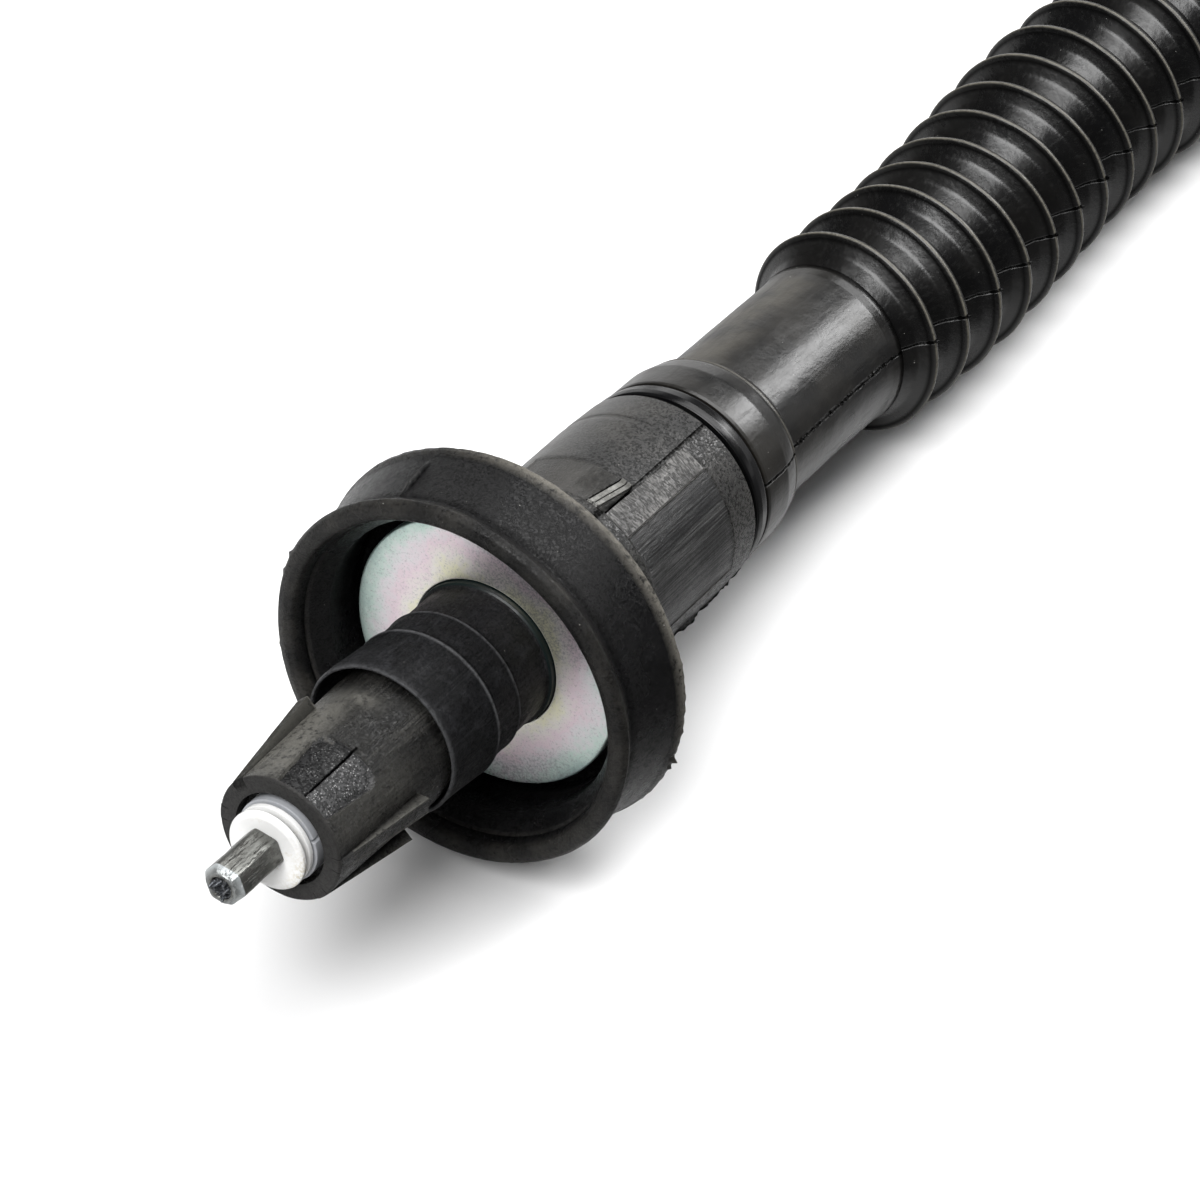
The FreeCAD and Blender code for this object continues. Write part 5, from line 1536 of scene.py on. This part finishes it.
@dataclass
class Bellows:
    """The ribbed boot on its curved centre line, from the housing's tail to the end cap."""

    front: float = 48.65
    neck_from: float = 58.35
    neck_r: float = 12.4
    first_rib: float = 94.02
    pitch: float = 8.43
    ribs: int = 18
    foot_before: float = 3.8
    crest_r: float = 15.8
    foot_r: float = 11.9
    end_r: float = 12.7
    end_length: float = 10.5
    cap_depth: float = 11.0
    seam: float = 72.0
    sides: int = 84
    levels_off: Pair = (111.0, 139.0)
    sway: tuple[Pair, ...] = (
        (11.0, 0.0), (31.0, 1.1), (51.0, 4.8), (76.0, -1.4), (101.0, -1.0), (126.0, 7.1),
        (152.0, 7.2), (196.0, 15.0))
    line_step: float = 0.5
    seed: int = 11
    tone: Triple = (0.0016, 0.0016, 0.0018)
    worn: Triple = (0.0040, 0.0037, 0.0034)
    # Colour of the crest lines, partly worn rubber and partly a painted highlight; then the colour of the seam and
    # the painted shade.
    edge: Triple = (0.160, 0.150, 0.124)
    soot: Triple = (0.002, 0.002, 0.002)

    def last_foot(self) -> float:
        """Station where the last rib ends and the end collar starts."""
        return self.first_rib + self.ribs * self.pitch - self.foot_before

    def end(self) -> float:
        """Station of the boot's end."""
        return self.last_foot() + self.end_length

    def heading(self, at: float) -> np.ndarray:
        """Direction of the centre line at a station, as (ahead, up, side).

        Args:
            at: The station.

        Returns:
            A vector of length one.
        """
        rise = math.asin(-LINE.ahead.z) * float(ramp(np.array(at), *self.levels_off))
        sway = math.radians(float(np.interp(at - self.front, *zip(*self.sway))))
        return np.array([math.cos(sway) * math.cos(rise), math.cos(sway) * math.sin(rise), math.sin(sway)])

    def centre_line(self) -> np.ndarray:
        """Points at even steps that follow the heading, in the scene.

        Returns:
            The points in order.
        """
        spots, at = [np.array([self.front, 0.0, 0.0])], self.front
        while at < self.end() + 2.0:
            spots.append(spots[-1] + self.heading(at + self.line_step / 2) * self.line_step)
            at += self.line_step
        return LINE.place(np.array(spots))

    def rib_section(self) -> np.ndarray:
        """One rib from foot to foot, with its stations from its crest.

        Returns:
            Rows of (station, radius, mark): lighter edge lines positive, painted shade negative.
        """
        line = rounded([
            (-self.foot_before, self.foot_r, 0.9), (-1.75, 13.35, 1.6), (-0.72, 15.05, 0.25),
            (-0.62, 15.3, 0.12), (-0.46, 15.62, 0.12), (-0.30, self.crest_r, 0.1),
            (-0.02, self.crest_r, 0.08), (0.24, 15.72, 0.1), (0.50, 15.6, 0.25), (1.0, 15.15, 0.5),
            (2.6, 13.35, 1.2), (4.63, self.foot_r, 0.9)],
            closed=False, steps=3, longest=0.55)[:-1]
        # The crest line is partly worn rubber and partly a painted highlight; the dark line just inside the crest
        # is painted shade in its small groove.
        worn = bell(line[:, 0], -0.22, 0.16) * (line[:, 1] > 15.5)
        return np.column_stack([line, worn - 0.9 * bell(line[:, 0], -0.72, 0.16)])

    def head_section(self) -> np.ndarray:
        """Collar and neck up to the first rib's foot.

        Returns:
            Rows of (station, radius, mark): lighter edge lines positive, painted shade negative.
        """
        line = rounded([
            (self.front, 12.3), (self.front, 14.52, 0.12), (self.front + 0.5, 14.60, 0.3),
            (54.2, 14.52, 2.5), (56.8, 13.95, 1.2), (57.45, 13.7, 0.2), (57.85, 13.72, 0.15),
            (58.2, 13.4, 0.2), (58.5, 12.75, 0.35), (59.6, self.neck_r + 0.05, 1.0),
            (75.0, self.neck_r), (87.2, self.neck_r, 1.0),
            (89.6, self.neck_r + 0.25, 0.6)], closed=False, longest=1.4)
        # A lighter line on the collar's ridge; painted shade in the step behind it and in the crease where the
        # neck meets the first rib.
        worn = 0.45 * bell(line[:, 0], 57.8, 0.22) - 0.6 * bell(line[:, 0], 58.6, 0.25)
        return np.column_stack([line, worn - 0.9 * bell(line[:, 0], 89.6, 0.35)])

    def tail_section(self) -> np.ndarray:
        """The end collar, and the bore back to the front.

        Returns:
            Rows of (station, radius, mark): lighter edge lines positive, painted shade negative.
        """
        last, end = self.last_foot(), self.end()
        grip = end - self.cap_depth - 0.3
        line = rounded([
            (last, self.foot_r, 0.4), (last + 0.7, self.end_r, 0.4), (end - 3.0, self.end_r),
            (end, self.end_r, 0.5), (end, 10.6, 0.2), (grip, 10.6), (grip - 0.5, 10.45), (95.0, 10.45),
            (90.0, 10.95), (58.3, 10.95), (57.75, 11.95), (self.front, 11.95)],
            closed=False, steps=3, longest=6.0)
        return np.column_stack([line, np.zeros(len(line))])

    def make(self) -> None:
        """Build the boot on its curved line and hide the CAD bellows in its place."""
        rows = {"Centre Line": self.centre_line(), "Head Section": self.head_section(),
                "Rib Section": self.rib_section(), "Tail Section": self.tail_section()}
        lines = {}
        for name, spots in rows.items():
            mesh = bpy.data.meshes.new(name)
            mesh.from_pydata(spots.tolist(), [(i, i + 1) for i in range(len(spots) - 1)], [])
            lines[name] = linked(name, mesh)
        mesh = BootMaker(self, {
            **lines, "Rib Count": self.ribs, "Sides": self.sides, "First Rib": self.first_rib,
            "Pitch": self.pitch, "Crest Radius": self.crest_r, "Foot Radius": self.foot_r,
            "Seam Angle": self.seam, "Seed": self.seed, "Finish": self.finish()}).whole()
        for line in lines.values():
            bpy.data.objects.remove(line)
        boot = linked("boot_skin", mesh)
        settle(boot, 60.0)
        middle = LINE.place(np.array([self.first_rib - 6.0, 0.0, 0.0]))
        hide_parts("bellows")
        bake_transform(boot)
        log.info("boot_skin bends from housing to rod, %d triangles", triangles(boot))

    def finish(self) -> bpy.types.Material:
        """The boot's rubber: satin, with the mould's seam, olive crest edges, painted shade and painted
        reflection.

        Returns:
            The material.
        """
        s = Shade("boot_rubber_skin", Reading.ATTRIBUTE)
        patches = s.cloud(0.07, 4.0, 0.6).between(0.35, 0.68)
        scuffs = s.cloud(1.3, 4.0, 0.7, (0.12, 1.0, 1.0), 4.0).between(0.48, 0.70)
        at, angle = s.spot.parts()[0], s.angle()
        straight = 1.0 - at.between(88.0, 90.5)
        tone = s.mixed(patches, self.tone, s.mixed(straight, self.worn, (0.0125, 0.0112, 0.0092)))
        neck = at.between(self.neck_from - 2.0, self.neck_from + 3.0) * (1.0 - at.between(84.0, 90.0))
        # A film over the neck's upper side: partly dust, partly a painted reflection of the pale sweep on that
        # side.
        dusty = neck * angle.between(-85.0, -50.0) * (1.0 - angle.between(-18.0, 6.0))
        dust_and_reflection_film = dusty * s.cloud(0.16, 4.0, 0.6, shift=8.0).between(0.35, 0.62)
        tone = s.mixed(dust_and_reflection_film, tone, (0.040, 0.036, 0.028))
        tone = s.mixed(scuffs * (0.10 + 0.16 * straight), tone, (0.024, 0.023, 0.021))
        ragged = s.cloud(1.4, 3.0, 0.7, shift=2.0)
        edge, soot = s.mark("edge"), s.mark("soot")
        # The edge mark lightens the crest lines and the collar's ridge, partly worn rubber and partly a painted
        # highlight.
        tone = s.mixed(edge * (0.45 + 0.55 * ragged.between(0.3, 0.55)), tone, self.edge)
        off = (angle - self.seam + s.cloud(0.35, 3.0, 0.7, shift=31.0) * 2.4 - 1.2).size()
        across = off.least((off - 180.0).size())
        crumbs = s.cloud(0.8, 4.0, 0.75, shift=12.0).between(0.36, 0.60)
        seam = (1.0 - across.between(0.45, 1.3)) * (0.55 + 0.45 * crumbs)
        seam = seam.most((1.0 - across.between(0.6, 2.4)) * crumbs * 0.8 * neck)
        # The seam and the painted shade in the creases darken the rubber.
        dark = (seam + soot * 0.85).least(1.0)
        specks = s.specks(0.7, 0.035, 0.075, 1.0).most(s.specks(1.7, 0.03, 0.10, 4.0))
        tone = s.mixed(specks, s.mixed(dark, tone, self.soot), (0.45, 0.44, 0.42))
        height = (s.cloud(2.0, 2.0, 0.6, shift=3.0) * 0.010 + s.cloud(0.3, 4.0, 0.6, shift=6.0) * 0.09
                  - seam * 0.22 + scuffs * 0.006)
        rough = 0.24 + patches * 0.06 + scuffs * 0.08 + straight * 0.03 + edge * 0.2
        return s.finish(height, dark + edge * 0.5 + dusty * 0.3, Base_Color=tone, Roughness=rough, IOR=1.5)


class BootMaker(Maker):
    """The boot's tree, which sweeps its sections along the line, repeats the rib and strews the seam."""

    def __init__(self, boot: Bellows, inputs: dict[str, object]) -> None:
        """Start the tree.

        Args:
            boot: The boot.
            inputs: The value of each input, the line and the sections first.
        """
        super().__init__("boot_skin", inputs)
        self.boot = boot
        (*objects, self.count, self.sides, self.first, self.pitch, self.crest_r, self.foot_r, self.seam,
         self.seed, _) = self.given
        line, *self.sections = (
            self.add("GeometryNodeObjectInfo", {"transform_space": "ORIGINAL"}, {"Object": item}, "Geometry")
            for item in objects)
        self.curve = self.add("GeometryNodeMeshToCurve", {}, {"Mesh": line}, "Curve")
        self.grain = self.add("GeometryNodeMeshIcoSphere", {}, {
            "Radius": 0.26 * MM, "Subdivisions": 2}, "Mesh")

    def read(self, section: Wire, at: Wire) -> Wire:
        """The section's point of a number."""
        return self.add("GeometryNodeSampleIndex", {"data_type": "FLOAT_VECTOR", "domain": "POINT"}, {
            "Geometry": section, "Value": self.here(), "Index": at}, "Value")

    def either(self, factor: Wire, a: Wire, b: Wire) -> Wire:
        """The first vector where the factor is zero, and the second where it's one."""
        return self.add("ShaderNodeMix", {"data_type": "VECTOR"}, {
            "Factor_Float": factor, "A_Vector": a, "B_Vector": b}, "Result_Vector")

    def noted(self, mesh: Wire, name: str, value: Wire, kind: str = "FLOAT") -> Wire:
        """Store a value on the mesh's points."""
        return self.add("GeometryNodeStoreNamedAttribute", {"data_type": kind, "domain": "POINT"}, {
            "Geometry": mesh, "Name": name, "Value": value}, "Geometry")

    def carried(self, station: Wire, out: Number, angle: Wire) -> Wire:
        """Find the scene's place of a point on the curved line.

        Args:
            station: Its station.
            out: Its radius.
            angle: Its angle in radians.

        Returns:
            The place.
        """
        found = self.add("GeometryNodeSampleCurve", {"mode": "LENGTH"}, {
            "Curves": self.curve, "Length": (station - self.boot.front) * MM}, "Position")
        ahead = found.beside("Tangent")
        across = ahead.vector("CROSS_PRODUCT", tuple(LINE.up)).vector("NORMALIZE")
        reach = across.vector("CROSS_PRODUCT", ahead).vector("SCALE", angle.cos() * out * MM)
        return found.vector("ADD", reach).vector("ADD", across.vector("SCALE", angle.sin() * out * MM))

    def laid(self, mesh: Wire, station: Wire, out: Wire, angle: Wire, lift: float = 0.0) -> Wire:
        """Lay points on the curved line, and note the place that they have on a straight one.

        Args:
            mesh: The points.
            station: Their stations.
            out: Their radii.
            angle: Their angles in radians.
            lift: How much further out they lie than noted.

        Returns:
            The points.
        """
        straight = self.spot(station, angle.cos() * out, angle.sin() * out)
        mesh = self.noted(mesh, "place", straight, "FLOAT_VECTOR")
        return self.put(mesh, self.carried(station, out + lift, angle))

    def skin(self) -> Wire:
        """Sweep head, ribs and tail into one skin, with each rib a little awry and the rubber rippled.

        Returns:
            The skin's mesh.
        """
        head, rib, tail = (self.add("GeometryNodeAttributeDomainSize", {}, {"Geometry": mesh}, "Point Count")
                           for mesh in self.sections)
        rings = head + rib * self.count + tail
        grid = self.add("GeometryNodeMeshGrid", {}, {
            "Size X": rings, "Size Y": self.sides, "Vertices X": rings + 1.0,
            "Vertices Y": self.sides + 1.0}, "Mesh")
        across, around, _ = self.here().parts()
        row = (across + rings / 2.0 + 0.5).floor()
        row = row - rings * row.over(rings - 0.5)
        turn = (around + self.sides / 2.0) * (2.0 * math.pi) / self.sides
        past_head, past_ribs = row.over(head - 0.5), row.over(head + rib * self.count - 0.5)
        is_rib = past_head * (1.0 - past_ribs)
        in_rib = row - head
        number = (in_rib / rib).floor()
        spots = [self.read(section, at) for section, at in zip(
            self.sections, (row, in_rib - number * rib, in_rib - rib * self.count))]
        section = self.either(past_ribs, self.either(past_head, spots[0], spots[1]), spots[2])
        at, radius, worn = section.parts()
        least, greatest = (-0.26, 0.0, -0.10), (0.26, 2.0 * math.pi, 0.10)
        lean, sway, swell = self.lots(least, greatest, self.seed, ID=number).parts()
        loose = ((radius - self.foot_r) / (self.crest_r - self.foot_r)).most(0.0) * is_rib
        at = at + is_rib * (self.first + number * self.pitch) + loose * lean * (turn - sway).cos()
        ripple = self.add("ShaderNodeTexNoise", {"noise_dimensions": "3D"}, {
            "Vector": self.spot(at * 0.12, turn.cos() * 1.6, turn.sin() * 1.6), "Scale": 1.0, "Detail": 2.0},
            "Fac") - 0.5
        radius = radius + loose * swell + ripple * 0.22 * (1.0 - past_ribs)
        mesh = self.noted(grid, "edge", worn.most(0.0))
        mesh = self.noted(mesh, "soot", (worn * -1.0).most(0.0))
        mesh = self.laid(mesh, at + ripple * 0.35 * loose, radius, turn)
        return self.add("GeometryNodeMergeByDistance", {}, {"Geometry": mesh, "Distance": 1e-6}, "Geometry")

    def nubs(self) -> Wire:
        """Set two nubs on each crest, where the mould's halves met.

        Returns:
            The nubs.
        """
        index = self.index()
        number = (index / 2.0).floor()
        angle = (self.seam + 180.0 * (index - 2.0 * number)) * (math.pi / 180.0)
        at, lift = self.first + number * self.pitch, 0.05
        outward = self.carried(at, self.crest_r + lift, angle)
        outward = outward.vector("SUBTRACT", self.carried(at, 0.0, angle))
        facing = self.add("FunctionNodeAlignRotationToVector", {"axis": "Z"}, {"Vector": outward}, "Rotation")
        points = self.laid(self.dots(self.count + self.count), at, self.crest_r, angle, lift)
        return self.strewn(points, self.grain, facing,
                           Scale=self.lots((0.7, 0.7, 0.9), (1.2, 1.5, 1.9), self.seed + 1.0))

    def crumbs(self) -> Wire:
        """Strew crumbs of torn flash along the neck's seam, most of them near the collar.

        Returns:
            The crumbs.
        """
        along, aside, rise = self.lots((0.0, -1.0, -0.10), (1.0, 1.0, 0.05), self.seed + 2.0).parts()
        angle = (self.seam + 1.2 * aside) * (math.pi / 180.0)
        points = self.laid(self.dots(46), 60.5 + along * along * 27.0, self.boot.neck_r + rise, angle)
        return self.strewn(points, self.grain, self.lots((0.0, 0.0, 0.0), (6.0, 6.0, 6.0), self.seed + 6.0),
                           Scale=self.lots((0.35, 0.35, 0.35), (1.3, 0.9, 0.9), self.seed + 5.0))

    def whole(self) -> bpy.types.Mesh:
        """Join crumbs, nubs and skin, and run the tree.

        Returns:
            The boot's mesh.
        """
        joined = self.add("GeometryNodeJoinGeometry", {}, {}, "Geometry")
        for part in (self.crumbs(), self.nubs(), self.skin()):
            self.tree.links.new(part.socket, joined.socket.node.inputs[0])
        return self.run(joined)


# ---------------------------------------------------------------- end cap, springs and inner works

@dataclass
class TailCap:
    """The end cap behind the bellows, with its flange, its tapered boss and the conduit socket."""

    depth: float = 11.0
    mouth_at: float = 9.0
    flutes: int = 24

    def fluted(self, x: np.ndarray, r: np.ndarray, turn: np.ndarray) -> tuple[np.ndarray, np.ndarray]:
        """Cut grip flutes into the flange."""
        flange = window(x, 0.4, 2.9, 0.4) * (r > 12.6)
        return x, r - 0.35 * flange * np.maximum(np.cos(np.radians(turn * self.flutes)), 0.0) ** 2

    def make(self) -> None:
        """Turn the cap on its own tilted axis and dress it."""
        mouth = named(frame["record"]["mounts"], "conduit_socket")
        way = Vector(mouth["axis"]).normalized()
        face = Vector(mouth["pos_m"]) - way * self.mouth_at * MM
        outline = rounded([
            (-self.depth, 3.7), (-self.depth, 9.75, 0.3), (-10.4, 10.2, 0.2), (0.0, 10.2), (0.0, 13.2, 0.5),
            (3.0, 13.2, 0.5), (3.4, 11.0, 0.3), (4.2, 8.5, 0.5), (15.0, 7.6, 0.5), (15.0, 4.15, 0.3),
            (3.0, 4.15), (3.0, 3.7)], longest=1.2)
        rings = spun(outline, round_angles(192), self.fluted)
        across = Vector((0.0, 0.0, 1.0)).cross(way).normalized()
        spots = LINE.local(np.array(face) + (rings * MM) @ np.array([way, way.cross(across), across]))
        take_part(from_rings("cap_skin", spots, [GLOSSY]), "rod", "black_acetal", "rear_cap")


@dataclass
class Coil:
    """A compression spring, wound to the size of its CAD node."""

    node: str
    body: str
    joint: str
    travel: float
    wire_r: float
    turns: int
    held_at_rear: bool
    sides: int = 12
    lead_gap: float = 0.5

    def reach(self) -> tuple[float, float, float]:
        """Find the first and last station of the CAD node, and the radius of its middle line.

        Returns:
            The three, in millimetres.
        """
        node = frame["nodes"][self.node]
        spots = LINE.local(np.array([node.matrix_world @ v.co for v in node.data.vertices]))
        x, out = spots[:, 0], radius_of(spots)
        return float(x.min()), float(x.max()), float(out.min() + out.max()) / 2.0

    def wound(self, length: float, coil_r: float) -> bpy.types.Mesh:
        """Wind the wire by Geometry Nodes: a spiral with a close turn at each end, swept by a circle.

        Args:
            length: From end face to end face.
            coil_r: Radius of the wire's middle line.

        Returns:
            The wire, standing on its own height.
        """
        maker = Maker(self.node + "_wire", {
            "Turns": float(self.turns), "Coil Radius": coil_r, "Wire Radius": self.wire_r, "Length": length,
            "Finish": OILED.material()})
        turns, middle, wire_r, whole, _ = maker.given
        spiral = maker.add("GeometryNodeCurveSpiral", {}, {
            "Resolution": 32, "Rotations": turns, "Start Radius": middle, "End Radius": middle,
            "Height": turns}, "Curve")
        across, up, turn = maker.here().parts()
        lead = wire_r * 2.0 + self.lead_gap
        rate = (whole - wire_r * 2.0 - lead * 2.0) / (turns - 2.0)
        rise = lead * turn.least(1.0) + rate * (turn.least(turns - 1.0) - 1.0).most(0.0)
        rise = rise + lead * (turn - turns + 1.0).most(0.0)
        ring = maker.add("GeometryNodeCurvePrimitiveCircle", {}, {
            "Resolution": self.sides, "Radius": wire_r}, "Curve")
        return maker.run(maker.add("GeometryNodeCurveToMesh", {}, {
            "Curve": maker.put(spiral, maker.spot(across, up, rise)), "Profile Curve": ring,
            "Fill Caps": True}, "Mesh"))

    def make(self) -> None:
        """Wind the spring, seat it on its axis and let it ride on its body."""
        start, stop, coil_r = self.reach()
        piece = from_plain(self.wound(stop - start, coil_r), start + self.wire_r, 1.0, (0.0, 0.0), 50.0)
        take_part(piece, self.body, "spring_steel", self.node)
        held = LINE.place(np.array([stop if self.held_at_rear else start, 0.0, 0.0]))
        tuple(LINE.ahead)
        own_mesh(piece)


@dataclass
class Springs:
    """The two springs inside: one takes up the cable's slack, the other pushes the nose out."""

    coils: tuple[Coil, ...] = (
        Coil("adjuster_spring", "rod", "rod_slide", 16.0, 0.85, 7, True),
        Coil("release_spring", "nose", "nose_slide", 4.0, 0.45, 4, False))

    def make(self) -> None:
        """Wind both."""
        for coil in self.coils:
            coil.make()


@dataclass
class InnerWorks:
    """The CAD nodes inside the housing and the boot, which keep their shape and get their finish."""

    finishes: dict[str, Finish] = field(default_factory=lambda: {
        "liner_tube": NATURAL, "lock_jaw_1": HARD_STEEL, "lock_jaw_2": HARD_STEEL, "lock_jaw_3": HARD_STEEL,
        "toothed_rod": HARD_STEEL, "core_wire": STRAND, "conduit": CONDUIT, "core_wire_rear": STRAND})

    def make(self) -> None:
        """Give each node its procedural material, black where none is named."""
        made: dict[str, bpy.types.Material] = {}
        for name, node in frame["nodes"].items():
            finish = self.finishes.get(name, INNER_BLACK)
            if finish.name not in made:
                made[finish.name] = finish.material(Reading.OBJECT)
            node.data.materials.clear()
            node.data.materials.append(made[finish.name])
            log.info("the CAD shape of %s carries %s", name, finish.name)


# ---------------------------------------------------------------- floor, lights and camera

@dataclass(frozen=True)
class Softbox:
    """A square studio light that looks at the cable."""

    name: str
    azimuth: float
    height: float
    distance: float
    size: Pair
    power: float

    def make(self) -> None:
        """Add the light."""
        lamp = bpy.data.lights.new(self.name, "AREA")
        lamp.shape = "RECTANGLE"
        lamp.size, lamp.size_y = self.size
        lamp.energy = self.power
        a, e = math.radians(self.azimuth), math.radians(self.height)
        away = Vector((math.cos(a) * math.cos(e), math.sin(a) * math.cos(e), math.sin(e)))
        light = linked(self.name, lamp)
        light.location = Vector((0.0, 0.0, 0.02)) + away * self.distance
        light.rotation_euler = away.to_track_quat("Z", "Y").to_euler()


@dataclass
class Studio:
    """A pale floor, soft lights and the camera."""

    camera_at: Triple = (-412.4425, 375.0667, 252.8078)
    camera_right: Triple = (0.53023, 0.05285, 0.84620)
    camera_ahead: Triple = (0.69259, -0.60269, -0.39634)
    lens: float = 140.583
    floor_reach: float = 4.0
    sky: float = 0.07
    sweep: float = 0.65
    back_way: Triple = (0.996, 0.087, 0.0)
    lights: tuple[Softbox, ...] = (
        Softbox("overhead_box", -12.0, 67.0, 1.6, (1.35, 1.35), 27.0),
        Softbox("back_box", -23.0, 30.0, 1.2, (0.42, 0.40), 6.4),
        Softbox("front_box", -176.0, 52.0, 1.3, (0.85, 0.85), 21.0),
        Softbox("left_panel", 36.0, 15.0, 1.3, (0.75, 0.6), 1.3))

    def floor(self) -> None:
        """A wide matt floor with a faint mottle."""
        mesh = bpy.data.meshes.new("floor")
        corners = [(x * self.floor_reach, y * self.floor_reach, 0.0)
                   for x, y in ((-1, -1), (1, -1), (1, 1), (-1, 1))]
        mesh.from_pydata(corners, [], [(0, 1, 2, 3)])
        floor = linked("floor", mesh)
        s = Shade("pale_floor", Reading.OBJECT)
        # The camera sees a bright floor with a faint mottle; every other ray sees it with painted shade, darkest
        # towards one side.
        seen = s.add("ShaderNodeLightPath", {}, {}, "Is Camera Ray")
        dim = s.mixed(s.spot.parts()[2].between(16.0, 48.0), (0.56, 0.56, 0.56), (0.06, 0.06, 0.06))
        tone = s.mixed(seen, dim, s.mixed(s.cloud(0.004, 2.0), (0.845, 0.845, 0.85), (0.86, 0.86, 0.86)))
        mesh.materials.append(s.finish(Base_Color=tone, Roughness=0.75, Specular_IOR_Level=0.2))

    def camera(self) -> None:
        """The camera at the photograph's place."""
        lens = bpy.data.cameras.new("camera")
        lens.lens, lens.sensor_width, lens.sensor_fit = self.lens, 36.0, "HORIZONTAL"
        lens.clip_start, lens.clip_end = 0.05, 20.0
        camera = linked("camera", lens)
        ahead, right = (
            Vector(np.array(way) @ LINE.basis()) for way in (self.camera_ahead, self.camera_right))
        ahead.normalize()
        right = (right - ahead * right.dot(ahead)).normalized()
        turn = Matrix((right, right.cross(ahead), -ahead)).transposed()
        camera.matrix_world = Matrix.Translation(Vector(LINE.place(np.array(self.camera_at)))) @ turn.to_4x4()
        bpy.context.scene.camera = camera

    def world(self) -> None:
        """A dark room with the pale sweep of the floor's far end behind the cable."""
        sky = bpy.data.worlds.new("studio_sky")
        sky.use_nodes = True
        tree = Tree(sky.node_tree)
        way = tree.add("ShaderNodeTexCoord", {}, {}, "Generated")
        behind = way.vector("DOT_PRODUCT", self.back_way, "Value").between(0.25, 0.6)
        low = 1.0 - way.parts()[2].between(0.10, 0.32)
        tree.close("ShaderNodeOutputWorld", tree.add("ShaderNodeBackground", {}, {
            "Color": EVEN, "Strength": behind * low * self.sweep + self.sky}))
        bpy.context.scene.world = sky
        bpy.context.scene.view_settings.view_transform = "Standard"

    def make(self) -> None:
        """Set up the studio."""
        self.floor()
        self.camera()
        self.world()
        for light in self.lights:
            light.make()
        log.info("studio with %d lights", len(self.lights))


def main() -> None:
    """Build the studio and every sub-assembly in order."""
    logging.basicConfig(level=logging.INFO, format="%(name)s: %(message)s")
    for assembly in (Studio(), BracketSeat(), AdjusterHousing(), SnapNose(), WireTip(), Bellows(), TailCap(),
                     Springs(), InnerWorks()):
        assembly.make()
        log.info("%s is done", type(assembly).__name__)


if __name__ == "__main__":
    main()
